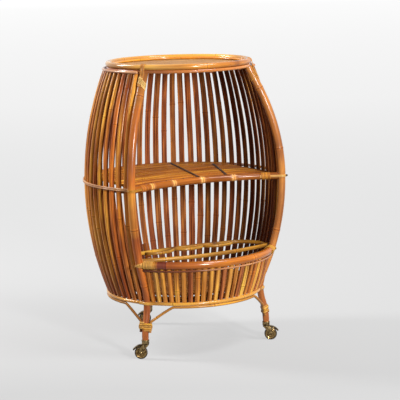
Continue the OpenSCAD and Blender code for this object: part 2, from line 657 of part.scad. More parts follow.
// Point of a tight turn round the canes c, each [x, y, radius], on the side that faces n
function reach_to(c, n, i) = c[i][0] * n[0] + c[i][1] * n[1] + c[i][2];
function outermost(c, n, i = 0, best = 0) = i == len(c) ? best
    : outermost(c, n, i + 1, reach_to(c, n, i) > reach_to(c, n, best) ? i : best);
// Strip wound about +Z round those canes
module winding(c, turns) {
    steps = turns * band_steps;
    n = [for (i = [0:steps]) let (a = 360 * (i + 0.5) / band_steps) [cos(a), sin(a), 0]];
    p = [for (i = [0:steps]) let (k = outermost(c, n[i]))
        [c[k][0], c[k][1], (i / band_steps - turns / 2) * strip_pitch] + c[k][2] * n[i]];
    echo(least_gap_between_turns = min([for (i = [0:steps - band_steps]) norm(p[i + band_steps] - p[i]) - strip_w]));
    swept_strip(p, n, [for (i = [0:steps]) [0, 0, 1]], strip_w);
}

// Turns round each leg and the two braces that end beside it
module leg_binding() {
    slack = seat_gap + 0.5;
    side = pole_r_at(leg_binding_z) * sin(brace_a);
    canes = [[0, 0, leg_d / 2 + slack], [0, side, brace_d / 2 + slack], [0, -side, brace_d / 2 + slack]];
    color("khaki") for (a = [left_a, right_a, rear_a]) radial(a)
        translate([pole_r_at(leg_binding_z), 0, leg_binding_z])
            rotate([0, -asin((leg_binding_z - leg_centre[1]) / leg_bow), 0]) winding(canes, leg_binding_turns);
}
// Strap from the top of the rim down the outside of a pole, held by turns round the pole
module rim_binding() {
    z = wall_top_z - 38;
    r = pole_d / 2 + seat_gap;
    out = [cos(pole_high_turn), 0, sin(pole_high_turn)];
    on_pole = [z - pole_binding_turns * strip_pitch / 2 - 2, wall_top_z - 10];
    round = [for (a = [12:14:124]) [cos(a), 0, sin(a)]];
    p = concat([for (h = on_pole) [pole_r_at(h), 0, h] + r * out],
        [for (v = round) [rim_r, 0, rim_z] + (rim_d / 2 + seat_gap) * v]);
    n = concat([out, out], round);
    color("khaki") for (a = [left_a, right_a]) radial(a) {
        swept_strip(p, n, [for (v = n) [0, -1, 0]], strap_w);
        translate([pole_r_at(z), 0, z]) rotate([0, -pole_high_turn, 0])
            winding([[0, 0, r], [r + strip_t, strap_w / 2, seat_gap], [r + strip_t, -strap_w / 2, seat_gap]],
                pole_binding_turns);
    }
}
// Turns round the end of a rail at p, at the heading given, with a strap under them on two sides
module rail_turns(p, heading, tilt, d, slack) {
    r = d / 2 + seat_gap;
    corners = [for (x = [-1, 1], y = [-1, 1]) [x * rail_strap_w / 2, y * (r + strip_t), seat_gap + slack]];
    translate(p) rotate([0, 0, heading]) rotate([tilt, 0, 0]) rotate([0, 90, 0])
        winding(concat([[0, 0, r + slack]], corners), rail_binding_turns);
}
// Strap that runs out along the front of the shelf rail, round the pole and back
module shelf_strap() {
    c = [0, axis_y + shelf_bow_y, shelf_z];
    rail_r = shelf_rail_d / 2 + seat_gap;
    post = [pole_x, axis_y + pole_y, shelf_z];
    end_turn = asin(pole_x / shelf_bow);
    turns = [for (s = strap_reach * [1, 0.74, 0.5, 0.31]) end_turn - s / shelf_bow * 180 / PI];
    n_rail = [for (t = turns) [sin(t), cos(t), 0]];
    n_post = [for (a = [-98:14:98]) [cos(a - end_turn), sin(a - end_turn), 0]];
    last = len(turns) - 1;
    n = concat(-n_rail, n_post, [for (i = [last:-1:0]) n_rail[i]]);
    p = concat([for (v = n_rail) c + (shelf_bow - rail_r) * v],
        [for (v = n_post) post + (pole_d / 2 + seat_gap) * v],
        [for (i = [last:-1:0]) c + (shelf_bow + rail_r) * n_rail[i]]);
    swept_strip(p, n, [for (v = n) [0, 0, 1]], rail_strap_w);
}
module shelf_binding() {
    x = pole_x - strap_reach * 2 / 3;
    t = asin(x / shelf_bow);
    color("khaki") for (s = [0, 1]) mirror([s, 0, 0]) {
        shelf_strap();
        rail_turns([x, axis_y + shelf_bow_y + shelf_bow * cos(t), shelf_z], -t, 0, shelf_rail_d, 0.2);
    }
}
// Strap along the outside of the basket rail, round the pole and back along the inside
basket_tilt = asin((pole_belly_z - basket_rail_z) / pole_low_bow);
function tilted(a) = [cos(basket_tilt) * sin(a), -cos(basket_tilt) * cos(a), -sin(basket_tilt)];
function across(a) = [sin(basket_tilt) * sin(a), -sin(basket_tilt) * cos(a), cos(basket_tilt)];
function round_axis(r, a, z) = [r * sin(a), axis_y - r * cos(a), z];
module basket_strap() {
    rail_r = basket_rail_d / 2 + seat_gap;
    along = [for (s = basket_strap_reach * [1, 0.77, 0.55, 0.35]) right_a - s / basket_rail_r * 180 / PI];
    back = [for (s = basket_strap_reach * [0.065, 0.35, 0.55, 0.77, 1]) right_a - s / basket_rail_r * 180 / PI];
    sweep = [for (g = [-12:13.5:150]) g];
    post = round_axis(pole_r_at(basket_rail_z), right_a, basket_rail_z);
    n_post = [for (g = sweep) cos(g) * tilted(right_a) + sin(g) * [cos(right_a), sin(right_a), 0]];
    p = concat([for (a = along) round_axis(basket_rail_r, a, basket_rail_z) + rail_r * tilted(a)],
        [for (v = n_post) post + (low_pole_d / 2 + seat_gap) * v],
        [for (a = back) round_axis(basket_rail_r, a, basket_rail_z) - rail_r * tilted(a)]);
    n = concat([for (a = along) tilted(a)], n_post, [for (a = back) -tilted(a)]);
    w = concat([for (a = along) across(a)], [for (g = sweep) across(right_a)], [for (a = back) across(a)]);
    swept_strip(p, n, w, rail_strap_w);
}
module basket_binding() {
    a = right_a - 0.68 * basket_strap_reach / basket_rail_r * 180 / PI;
    color("khaki") for (s = [0, 1]) mirror([s, 0, 0]) {
        basket_strap();
        rail_turns(round_axis(basket_rail_r, a, basket_rail_z), a, basket_tilt, basket_rail_d, 0.5);
    }
}

// Caster pieces in their own frame: swivel axis at the origin, the wheel trails along +X
module place_caster(a, heading) {
    translate([leg_r * sin(a), axis_y - leg_r * cos(a), 0]) rotate([0, 0, heading]) children();
}
module socket() {
    difference() {
        union() {
            translate([0, 0, caster_h]) cylinder(d = socket_d, h = socket_h, $fn = 48);
            translate([0, 0, caster_h + socket_h - 2]) rotate_extrude($fn = 48)
                translate([socket_d / 2 - 0.4, 0]) circle(r = 1.2, $fn = 24);
        }
        translate([0, 0, caster_h + crown_t]) cylinder(d = foot_d + 2 * seat_gap, h = socket_h + over, $fn = 48);
        translate([0, 0, caster_h - over]) cylinder(d = stem_d + 2 * running_gap, h = crown_t + 2 * over, $fn = 48);
    }
}
// Arm from the crown down to the axle
module arm() {
    rotate([90, 0, 0]) linear_extrude(height = arm_t) polygon([
        [-crown_d / 2 + 3, caster_h - crown_gap - 0.5], [crown_d / 2, caster_h - crown_gap - 0.5],
        [caster_trail + 7, wheel_r + 15], [caster_trail + 4.6, wheel_r], [caster_trail, wheel_r - 4.6],
        [caster_trail - 4.6, wheel_r], [0, wheel_r + 16], [-crown_d / 2 + 3, caster_h - crown_gap - crown_t]]);
}
// Arched guard over the wheel, its sides turned down
module hood() {
    side = 5;
    translate([hood_x, 0, hood_z]) rotate([90, 0, 0]) rotate([0, 0, hood_from])
        rotate_extrude(angle = hood_to - hood_from, $fn = 120) polygon([
            [hood_bow - side, -hood_w / 2], [hood_bow - 2, -hood_w / 2], [hood_bow, -hood_w / 2 + 2.4],
            [hood_bow, hood_w / 2 - 2.4], [hood_bow - 2, hood_w / 2], [hood_bow - side, hood_w / 2],
            [hood_bow - side, hood_w / 2 - hood_t], [hood_bow - 1.2 - hood_t, hood_w / 2 - hood_t],
            [hood_bow - hood_t, hood_w / 2 - 3.4], [hood_bow - hood_t, -hood_w / 2 + 3.4],
            [hood_bow - 1.2 - hood_t, -hood_w / 2 + hood_t], [hood_bow - side, -hood_w / 2 + hood_t]]);
}
module fork() {
    difference() {
        union() {
            translate([0, 0, caster_h - crown_gap - crown_t]) cylinder(d = crown_d, h = crown_t, $fn = 48);
            translate([0, 0, caster_h - crown_gap - over]) cylinder(d = stem_d, h = stem_top_z - caster_h + crown_gap + over, $fn = 48);
            translate([0, arm_y + arm_t, 0]) arm();
            translate([0, -arm_y, 0]) arm();
            hood();
        }
        translate([caster_trail, 0, wheel_r]) rotate([90, 0, 0])
            cylinder(d = axle_d + 2 * running_gap, h = 4 * arm_y, center = true, $fn = 48);
    }
}
module axle() {
    reach = arm_y + arm_t + 0.1;
    translate([caster_trail, 0, wheel_r]) rotate([90, 0, 0]) rotate_extrude($fn = 48) polygon([
        [0, -reach - axle_head_t], [axle_head_d / 2 - 1, -reach - axle_head_t], [axle_head_d / 2, -reach - 0.6],
        [axle_head_d / 2, -reach], [axle_d / 2, -reach], [axle_d / 2, reach], [axle_head_d / 2, reach],
        [axle_head_d / 2, reach + 0.6], [axle_head_d / 2 - 1, reach + axle_head_t], [0, reach + axle_head_t]]);
}
// Turned disc: a boss, a dished web with one ridge, and a flat rim for the tyre
module hub() {
    bore = axle_d / 2 + running_gap;
    half = [[bore, wheel_w / 2 + 0.4], [6.5, wheel_w / 2 + 0.4], [7.5, wheel_w / 2 - 1.6], [10.5, wheel_w / 2 - 2.4],
        [12, wheel_w / 2 - 1.2], [13.5, wheel_w / 2 - 2.4], [hub_d / 2 - 3.4, wheel_w / 2 - 2.2],
        [hub_d / 2 - 2.4, wheel_w / 2 - 0.6], [hub_d / 2, wheel_w / 2 - 0.6]];
    n = len(half);
    translate([caster_trail, 0, wheel_r]) rotate([90, 0, 0]) rotate_extrude($fn = 64)
        polygon(concat(half, [for (i = [n - 1:-1:0]) [half[i][0], -half[i][1]]]));
}
module tyre() {
    in_r = hub_d / 2 + 0.1;
    round_r = 2;
    translate([caster_trail, 0, wheel_r]) rotate([90, 0, 0]) rotate_extrude($fn = 64) {
        translate([in_r, -wheel_w / 2 + 0.6]) square([wheel_r - in_r - round_r, wheel_w - 1.2]);
        translate([in_r, -wheel_w / 2 + 0.6 + round_r]) square([wheel_r - in_r, wheel_w - 1.2 - 2 * round_r]);
        for (s = [-1, 1]) translate([wheel_r - round_r, s * (wheel_w / 2 - 0.6 - round_r)]) circle(r = round_r, $fn = 24);
    }
}

module left_socket() { color("darkgoldenrod") place_caster(left_a, left_heading) socket(); }
module right_socket() { color("darkgoldenrod") place_caster(right_a, right_heading) socket(); }
module rear_socket() { color("darkgoldenrod") place_caster(rear_a, rear_heading) socket(); }
module left_fork() { color("goldenrod") place_caster(left_a, left_heading) fork(); }
module right_fork() { color("goldenrod") place_caster(right_a, right_heading) fork(); }
module rear_fork() { color("goldenrod") place_caster(rear_a, rear_heading) fork(); }
module left_axle() { color("dimgray") place_caster(left_a, left_heading) axle(); }
module right_axle() { color("dimgray") place_caster(right_a, right_heading) axle(); }
module rear_axle() { color("dimgray") place_caster(rear_a, rear_heading) axle(); }
module left_hub() { color("gold") place_caster(left_a, left_heading) hub(); }
module right_hub() { color("gold") place_caster(right_a, right_heading) hub(); }
module rear_hub() { color("gold") place_caster(rear_a, rear_heading) hub(); }
module left_tyre() { color("#2b1d14") place_caster(left_a, left_heading) tyre(); }
module right_tyre() { color("#2b1d14") place_caster(right_a, right_heading) tyre(); }
module rear_tyre() { color("#2b1d14") place_caster(rear_a, rear_heading) tyre(); }

left_pole();
right_pole();
rear_leg();
rim_hoop();
under_hoop();
inner_hoop();
wall_trim();
top_canes();
top_bearers();
left_wall_canes();
rear_wall_canes();
right_wall_canes();
belly_hoop();
shelf_hoop();
shelf_rail();
shelf_canes();
shelf_bearers();
shelf_battens();
basket_rail();
basket_trim();
basket_canes();
base_hoop();
base_inner_hoop();
floor_canes();
floor_bearers();
rack_front_rail();
rack_back_rail();
rack_scallop();
front_brace();
left_brace();
right_brace();
rim_binding();
shelf_binding();
basket_binding();
leg_binding();
left_socket();
right_socket();
rear_socket();
left_fork();
right_fork();
rear_fork();
left_axle();
right_axle();
rear_axle();
left_hub();
right_hub();
rear_hub();
left_tyre();
right_tyre();
rear_tyre();
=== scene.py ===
import math
import random

import bmesh
import bpy
from mathutils import Color, Matrix, Vector, noise


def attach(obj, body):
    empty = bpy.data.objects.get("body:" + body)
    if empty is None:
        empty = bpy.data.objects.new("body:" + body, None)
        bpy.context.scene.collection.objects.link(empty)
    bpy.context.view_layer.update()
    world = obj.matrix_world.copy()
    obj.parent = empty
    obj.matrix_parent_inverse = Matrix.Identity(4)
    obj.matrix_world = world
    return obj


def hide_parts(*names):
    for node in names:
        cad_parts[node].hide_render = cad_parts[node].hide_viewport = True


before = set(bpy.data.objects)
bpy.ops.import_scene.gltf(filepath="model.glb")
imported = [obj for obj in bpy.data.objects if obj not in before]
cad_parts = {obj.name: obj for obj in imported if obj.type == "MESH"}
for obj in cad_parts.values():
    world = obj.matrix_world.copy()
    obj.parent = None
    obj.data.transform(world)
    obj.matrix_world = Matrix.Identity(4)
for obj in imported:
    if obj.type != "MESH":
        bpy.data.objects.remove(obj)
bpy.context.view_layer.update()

# The camera stands to the left of the open front, a little above the rim, six metres away.
# It leans slightly, so the bar's top tips to the left in the picture.
AXIS_Y = -0.0132
camera_turn, camera_far, camera_height = math.radians(27.58), 5.9858, 1.503
aim_aside, aim_down, camera_lean = 0.0114, 0.1591, 0.0245
eye = Vector((-camera_far * math.sin(camera_turn), AXIS_Y - camera_far * math.cos(camera_turn),
              camera_height))
lens = bpy.data.cameras.new("camera")
lens.lens = 143.53
lens.sensor_width = 36
lens.clip_end = 400
camera = bpy.data.objects.new("camera", lens)
look = Matrix.Rotation(-camera_turn - aim_aside, 4, "Z") @ Matrix.Rotation(math.pi / 2 - aim_down, 4, "X")
camera.matrix_world = Matrix.Translation(eye) @ look @ Matrix.Rotation(-camera_lean, 4, "Z")
bpy.context.scene.collection.objects.link(camera)
bpy.context.scene.camera = camera
bpy.context.scene.view_settings.view_transform = "Standard"


# The room is a pale floor that runs far out, under an even pale sky. Three soft boxes light the bar: one
# high in front on the right, one behind on the left, which draws the streaks on the wall canes, and a low
# one straight in front, which reaches the inside of the wall.
def dye(red, green, blue):
    """A colour as it is seen, 0 to 255, as the four numbers that a shader works with."""
    return (*Color((red / 255, green / 255, blue / 255)).from_srgb_to_scene_linear(), 1.0)


def put(tree, kind, **settings):
    """Adds a node; a setting named like one of its inputs, with _ for a blank, gives that input its value."""
    node = tree.nodes.new(kind)
    for name, value in settings.items():
        if hasattr(node, name):
            setattr(node, name, value)
        else:
            node.inputs[name.replace("_", " ")].default_value = value
    return node


def join(tree, *pairs):
    """Links each output to the input after it."""
    for out, into in zip(pairs[::2], pairs[1::2]):
        tree.links.new(out, into)


def sum_of(tree, a, b, operation="ADD"):
    """Two values added, or taken together by another operation."""
    result = put(tree, "ShaderNodeMath", operation=operation)
    for into, value in zip(result.inputs, (a, b)):
        if isinstance(value, (int, float)):
            into.default_value = value
        else:
            join(tree, value, into)
    return result.outputs[0]


def seen_by_eye(tree):
    """1 for the camera's rays and for those that come back to it from gloss or glass."""
    path = put(tree, "ShaderNodeLightPath").outputs
    straight_or_gloss = sum_of(tree, path["Is Camera Ray"], path["Is Glossy Ray"], "MAXIMUM")
    return sum_of(tree, straight_or_gloss, path["Is Transmission Ray"], "MAXIMUM")


world = bpy.data.worlds.new("sky")
world.use_nodes = True
sky = world.node_tree
sky.nodes.clear()
glow = put(sky, "ShaderNodeBackground", Color=(1, 1, 1, 1))
level = put(sky, "ShaderNodeMapRange", To_Min=0.11, To_Max=0.965)
join(sky, seen_by_eye(sky), level.inputs["Value"], level.outputs[0], glow.inputs["Strength"],
     glow.outputs[0], put(sky, "ShaderNodeOutputWorld").inputs[0])
bpy.context.scene.world = world

bm = bmesh.new()
bmesh.ops.create_circle(bm, cap_ends=True, segments=96, radius=160)
floor_mesh = bpy.data.meshes.new("floor")
bm.to_mesh(floor_mesh)
bm.free()
floor = bpy.data.objects.new("floor", floor_mesh)
bpy.context.scene.collection.objects.link(floor)
floor_paint = bpy.data.materials.new("floor_paint")
floor_paint.use_nodes = True
tree = floor_paint.node_tree
tree.nodes.clear()
# The floor pales with the logarithm of how far it lies behind the bar, towards the white of the backdrop
spot = put(tree, "ShaderNodeTexCoord")
behind = put(tree, "ShaderNodeVectorMath", operation="DOT_PRODUCT")
behind.inputs[1].default_value = (math.sin(camera_turn), math.cos(camera_turn), 0)
join(tree, spot.outputs["Object"], behind.inputs[0])
ahead = sum_of(tree, sum_of(tree, behind.outputs["Value"], 2.0), 1.0, "MAXIMUM")
fade = put(tree, "ShaderNodeMapRange", From_Min=0.0, From_Max=1.6)
tone = put(tree, "ShaderNodeValToRGB")
greys = ((0.07, 0.465), (0.455, 0.728), (0.66, 0.860), (0.83, 0.908), (0.97, 0.955), (1, 1))
stops = tone.color_ramp.elements
for place, grey in greys[1:-1]:
    stops.new(place)
for stop, (place, grey) in zip(stops, greys):
    stop.position = place
    stop.color = (grey, grey, grey, 1)
shine = put(tree, "ShaderNodeEmission")
dimmed = put(tree, "ShaderNodeMapRange", To_Min=0.22, To_Max=1.0)
paint = put(tree, "ShaderNodeBsdfDiffuse", Color=(0.15, 0.15, 0.15, 1))
both = put(tree, "ShaderNodeAddShader")
join(tree, sum_of(tree, ahead, 10, "LOGARITHM"), fade.inputs["Value"], fade.outputs[0], tone.inputs[0],
     tone.outputs[0], shine.inputs["Color"], seen_by_eye(tree), dimmed.inputs["Value"],
     dimmed.outputs[0], shine.inputs["Strength"], shine.outputs[0], both.inputs[0],
     paint.outputs[0], both.inputs[1], both.outputs[0], put(tree, "ShaderNodeOutputMaterial").inputs[0])
floor_mesh.materials.append(floor_paint)


def soft_box(name, turn, lift, far, wide, high, power):
    """A lamp at that turn from straight in front, aimed at the middle of the bar."""
    lamp = bpy.data.lights.new(name, "AREA")
    lamp.shape = "RECTANGLE"
    lamp.size = wide
    lamp.size_y = high
    lamp.energy = power
    holder = bpy.data.objects.new(name, lamp)
    turn, lift = math.radians(turn), math.radians(lift)
    away = Vector((math.sin(turn) * math.cos(lift), -math.cos(turn) * math.cos(lift), math.sin(lift)))
    aimed = away.to_track_quat("Z", "Y").to_matrix().to_4x4()
    holder.matrix_world = Matrix.Translation(Vector((0, 0, 0.6)) + far * away) @ aimed
    bpy.context.scene.collection.objects.link(holder)


soft_box("high_box", 28, 54, 3.2, 1.0, 1.0, 72)
soft_box("left_box", -130, 36, 3.4, 0.6, 1.8, 130)
soft_box("front_box", -1, 13, 4.2, 0.5, 0.7, 175)


# Poles and rear leg: stout canes, steamed and bent to the barrel's curve, pinched in at the waist and splayed
# out as legs. Each is a single cane, with a ring at every knot, varnished and bored below for its caster.
POLE_TURN = 56
LEG_PLACES = (-POLE_TURN, POLE_TURN, 180)
POLE_THICK = 0.030
BELLY_R, BELLY_Z = 0.380, 0.632
HIGH_BOW, HIGH_TURN = 0.74988, math.radians(26.514)
LOW_BOW, LOW_TURN = 0.90076, math.radians(23.485)
WAIST_BOW, LEG_SPLAY = 0.170, math.radians(17)
WALL_TOP = 1.0464
SOCKET_TOP = 0.072
LEG_FOOT = 0.0615
REAR_LEG_TOP = 0.325
SEAT = 0.0003
POINT_STEP = 0.004


def turned_to(turn):
    """The direction away from the barrel's axis at that turn from the middle of the open front."""
    turn = math.radians(turn)
    return Vector((math.sin(turn), -math.cos(turn), 0))


def on_barrel(turn, r, z):
    """The point at that turn, r out from the barrel's axis."""
    return Vector((0, AXIS_Y, z)) + r * turned_to(turn)


def arc(middle_r, middle_z, bow, start, end):
    """Points [r, z] on a bow that stands upright."""
    steps = max(2, round(abs(end - start) * bow / POINT_STEP))
    turns = [start + (end - start) * i / steps for i in range(steps + 1)]
    return [(middle_r + bow * math.cos(t), middle_z + bow * math.sin(t)) for t in turns]


def level_arc(middle, r, z, start, end):
    """Points on a level bow about that middle [x, y], between two turns from straight in front of it."""
    steps = max(2, round(abs(math.radians(end - start)) * r / POINT_STEP))
    return [Vector((*middle, z)) + r * turned_to(start + (end - start) * i / steps) for i in range(steps + 1)]


high = (BELLY_R - HIGH_BOW, BELLY_Z)
low = (BELLY_R - LOW_BOW, BELLY_Z)
waist = (low[0] + (LOW_BOW + WAIST_BOW) * math.cos(LOW_TURN),
         low[1] - (LOW_BOW + WAIST_BOW) * math.sin(LOW_TURN))
leg_top = (waist[0] - WAIST_BOW * math.cos(LEG_SPLAY), waist[1] - WAIST_BOW * math.sin(LEG_SPLAY))
leg_bow = (leg_top[1] - SOCKET_TOP - SEAT) / math.sin(LEG_SPLAY)
leg = (leg_top[0] - leg_bow * math.cos(LEG_SPLAY), leg_top[1] - leg_bow * math.sin(LEG_SPLAY))
LEG_R = leg[0] + leg_bow


def pole_line(top):
    """The middle of a pole from its foot in the socket up to the height top, as points [r, z]."""
    line = [(LEG_R, LEG_FOOT), (LEG_R, 0.066)] + arc(*leg, leg_bow, 0, LEG_SPLAY)
    line += arc(*waist, WAIST_BOW, math.pi + LEG_SPLAY, math.pi - LOW_TURN)[1:]
    line += arc(*low, LOW_BOW, -LOW_TURN, 0)[1:] + arc(*high, HIGH_BOW, 0, HIGH_TURN)[1:]
    r, z = line[-1]
    while z < WALL_TOP + 0.0136:
        r, z = r - POINT_STEP * math.sin(HIGH_TURN), z + POINT_STEP * math.cos(HIGH_TURN)
        line.append((r, z))
    below = [p for p in line if p[1] < top]
    (r0, z0), (r1, z1) = below[-1], line[len(below)]
    return below + [(r0 + (r1 - r0) * (top - z0) / (z1 - z0), top)]


def pole_r(z):
    """How far the middle of a pole is from the barrel's axis at that height."""
    return pole_line(z)[-1][0]


def heading(line, i):
    """The way that a line of points runs at point i."""
    return line[min(i + 1, len(line) - 1)] - line[max(i - 1, 0)]


def walk(line, facing, step, knots):
    """Places along a line, every step and closely round each knot, as [distance, point, facing]."""
    far = [0.0]
    for a, b in zip(line, line[1:]):
        far.append(far[-1] + (b - a).length)
    whole = far[-1]
    count = max(2, round(whole / step))
    marks = [whole * i / count for i in range(count + 1)]
    for k in knots:
        near = [k + d for d in (-0.008, -0.004, -0.0015, 0, 0.0015, 0.004, 0.008) if 0 < k + d < whole]
        marks = [m for m in marks if m in (0, whole) or abs(m - k) > 0.012] + near
    places, i = [], 0
    for m in sorted(marks):
        while i < len(far) - 2 and far[i + 1] < m:
            i += 1
        t = (m - far[i]) / (far[i + 1] - far[i])
        out = facing[i].lerp(facing[i + 1], t) if facing else None
        places.append((m, line[i].lerp(line[i + 1], t), out))
    return places


def blend_at(stops, place):
    """The colour at a place from 0 to 1 along a cane, between [place, colour] stops."""
    if place <= stops[0][0]:
        return stops[0][1]
    for (a, from_colour), (b, to_colour) in zip(stops, stops[1:]):
        if place <= b:
            t = (place - a) / (b - a)
            return [x + (y - x) * t for x, y in zip(from_colour, to_colour)]
    return stops[-1][1]


def skin(spots, sides, split, grain, stain, knot):
    """A rod: a ring laid at each spot and drawn on to the next, closed at both ends. A split one has a flat
    side. It carries its grain (round and along the cane), its stain and how far the next knot is."""
    bm = bmesh.new()
    grain_layer = bm.verts.layers.float_vector.new("grain")
    stain_layer = bm.verts.layers.float_color.new("stain")
    knot_layer = bm.verts.layers.float.new("knot")
    bmesh.ops.create_circle(bm, cap_ends=True, segments=sides, radius=1)
    if split:
        everything = bm.verts[:] + bm.edges[:] + bm.faces[:]
        bmesh.ops.bisect_plane(bm, geom=everything, dist=1e-6, plane_no=(1, 0, 0), clear_inner=True)
    bmesh.ops.delete(bm, geom=bm.faces[:], context="FACES_ONLY")
    size = spots[0].to_scale()
    for v in bm.verts:
        v[grain_layer] = (v.co.x * size.x, v.co.y * size.y, grain[0])
        v[stain_layer] = (*stain[0][:3], 1)
        v[knot_layer] = knot[0]
    bmesh.ops.transform(bm, matrix=spots[0], verts=bm.verts[:])
    ring = bm.edges[:]
    ends = [ring]
    for i in range(1, len(spots)):
        grown = bmesh.ops.extrude_edge_only(bm, edges=ring)["geom"]
        points = [g for g in grown if isinstance(g, bmesh.types.BMVert)]
        fresh = set(points)
        ring = [g for g in grown if isinstance(g, bmesh.types.BMEdge) and fresh.issuperset(g.verts)]
        bmesh.ops.transform(bm, matrix=spots[i] @ spots[i - 1].inverted(), verts=points)
        for v in points:
            v[grain_layer].z = grain[i]
            v[stain_layer] = (*stain[i][:3], 1)
            v[knot_layer] = knot[i]
    ends.append(ring)
    caps = [bmesh.ops.edgeloop_fill(bm, edges=end)["faces"] for end in ends]
    bmesh.ops.recalc_face_normals(bm, faces=bm.faces[:])
    return bm, caps


def cane(line, thick, stain, knots=(), seed=0, sides=14, step=0.014, swell=0.045, wander=0.0, uneven=0.02,
         taper=None, facing=None, deep=None):
    """One cane along a line of points: thick across, swollen and a little bent at its knots. With deep, and
    facing, a direction for each point, it is split: the line runs on its flat side, and its bark faces that
    way."""
    places = walk(line, facing, step, knots)
    points = [point for _, point, _ in places]
    whole = places[-1][0]
    chance = random.Random(seed)
    start = chance.uniform(0, 40)
    kinks = [(k, 0.0012 * chance.uniform(-1, 1), 0.0012 * chance.uniform(-1, 1)) for k in knots]
    turn, last, spots, near = None, Vector((0, 0, 1)), [], []
    for i, (far, point, out) in enumerate(places):
        run = heading(points, i).normalized()
        if facing:
            side = run.cross(out).normalized()
            turn = Matrix((side.cross(run), side, run)).transposed()
        else:
            bend = last.rotation_difference(run).to_matrix()
            turn = bend if turn is None else bend @ turn
            last = run
        gap = min([abs(far - k) for k in knots], default=1.0)
        grow = 1 + uneven * noise.noise(Vector((start, far * 9, 0)))
        grow *= 1 + swell * math.exp(-(gap / 0.0035) ** 2) + 0.35 * swell * math.exp(-(gap / 0.012) ** 2)
        if taper:
            grow *= taper(far)
        hold = min(1.0, far / 0.05, (whole - far) / 0.05)
        aside = Vector([noise.noise(Vector((start, far * 4, z))) for z in (7, 19)] + [0]) * wander * hold
        if wander:
            for k, x, y in kinks:
                aside += Vector((x, y, 0)) * max(0.0, 1 - abs(far - k) / 0.09) * hold
        if deep:
            aside.x = 0
        size = thick / 2 * grow
        scale = Matrix.Diagonal((deep * grow if deep else size, size, size, 1))
        spots.append(Matrix.Translation(point + turn @ aside) @ turn.to_4x4() @ scale)
        near.append(gap)
    grain = [start + far for far, _, _ in places]
    colours = [blend_at(stain, far / whole) for far, _, _ in places]
    return skin(spots, sides, bool(deep), grain, colours, near)


def knots_along(length, seed, least, most):
    """Distances of the knots along a cane of that length."""
    chance = random.Random(seed)
    far, knots = chance.uniform(0.3, 0.9) * least, []
    while far < length - 0.02:
        knots.append(far)
        far += chance.uniform(least, most)
    return knots


def piece(name, parts, finish, node, body="frame"):
    """Puts the parts together as one object that stands for that CAD node and rides on that body."""
    whole = bmesh.new()
    for bm, _ in parts:
        bare = bpy.data.meshes.new("part")
        bm.to_mesh(bare)
        bm.free()
        whole.from_mesh(bare)
        bpy.data.meshes.remove(bare)
    mesh = bpy.data.meshes.new(name)
    whole.to_mesh(mesh)
    whole.free()
    mesh.shade_smooth()
    mesh.set_sharp_from_angle(angle=math.radians(50))
    mesh.materials.append(finish)
    made = bpy.data.objects.new(name, mesh)
    bpy.context.scene.collection.objects.link(made)
    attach(made, body)
    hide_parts(node)


def stretched(tree, source, scale, detail=2.0, rough=0.5):
    """Noise that is drawn out along the grain."""
    pull = put(tree, "ShaderNodeVectorMath", operation="MULTIPLY")
    pull.inputs[1].default_value = scale
    cloud = put(tree, "ShaderNodeTexNoise", Scale=1.0, Detail=detail, Roughness=rough)
    join(tree, source, pull.inputs[0], pull.outputs[0], cloud.inputs["Vector"])
    return cloud.outputs["Fac"]


def ranged(tree, source, low_in, high_in, low_out=0.0, high_out=1.0):
    """The source's values between two limits, spread smoothly between two others."""
    spread = put(tree, "ShaderNodeMapRange", interpolation_type="SMOOTHSTEP",
                 From_Min=low_in, From_Max=high_in, To_Min=low_out, To_Max=high_out)
    join(tree, source, spread.inputs["Value"])
    return spread.outputs[0]


def times(tree, a, b):
    """One value times another."""
    return sum_of(tree, a, b, "MULTIPLY")


def tinted(tree, amount, base, tint, blend="MULTIPLY"):
    """The base colour, tinted by that amount."""
    mix = put(tree, "ShaderNodeMix", data_type="RGBA", blend_type=blend)
    for socket, value in (("Factor", amount), (6, base), (7, tint)):
        if isinstance(value, tuple):
            mix.inputs[socket].default_value = value
        else:
            join(tree, value, mix.inputs[socket])
    return mix.outputs[2]


def effect(name, takes, gives):
    """A node group, with the sockets that it takes and gives as [kind, names], and its two ends."""
    group = bpy.data.node_groups.new(name, "ShaderNodeTree")
    for way, sockets in (("INPUT", takes), ("OUTPUT", gives)):
        for kind, names in sockets:
            for socket in names.split():
                group.interface.new_socket(socket, in_out=way, socket_type="NodeSocket" + kind)
    return group, put(group, "NodeGroupInput").outputs, put(group, "NodeGroupOutput").inputs


# How the skin of a cane is coloured: fine fibres along it, slow cloudy patches, a few scorched smudges,
# and at each knot a dark line between two pale collars. The flat side of a split cane is bare, dull wood.
cane_skin, given, gives = effect(
    "cane skin",
    (("Vector", "Grain"), ("Color", "Stain Core"),
     ("Float", "Knot Split Fibre Cloud Scorch Gloss Varnish Collar Ring Groove")),
    (("Color", "Color"), ("Float", "Roughness Coat Height")))
tree = cane_skin
fibre = stretched(tree, given["Grain"], (420, 420, 9), 3, 0.6)
cloud = stretched(tree, given["Grain"], (34, 34, 7), 2, 0.5)
smudge = stretched(tree, given["Grain"], (90, 90, 22), 3, 0.65)
streak = stretched(tree, given["Grain"], (190, 190, 2.6), 2, 0.55)
across = put(tree, "ShaderNodeSeparateXYZ")
join(tree, given["Grain"], across.inputs[0])
bare = times(tree, ranged(tree, across.outputs["X"], 0.0007, 0.0001), given["Split"])
# Painted shade: the bark along a split cane's two edges, where it faces its neighbours, is darkened; Groove
# sets it together with the grain streaks.
painted_shade_band = times(tree, ranged(tree, across.outputs["X"], 0.0060, 0.0018), given["Split"])
edge = sum_of(tree, painted_shade_band, bare, "SUBTRACT")
ring = ranged(tree, given["Knot"], 0.0030, 0.0006)
colour = tinted(tree, times(tree, bare, 0.74), given["Stain"], given["Core"], "MIX")
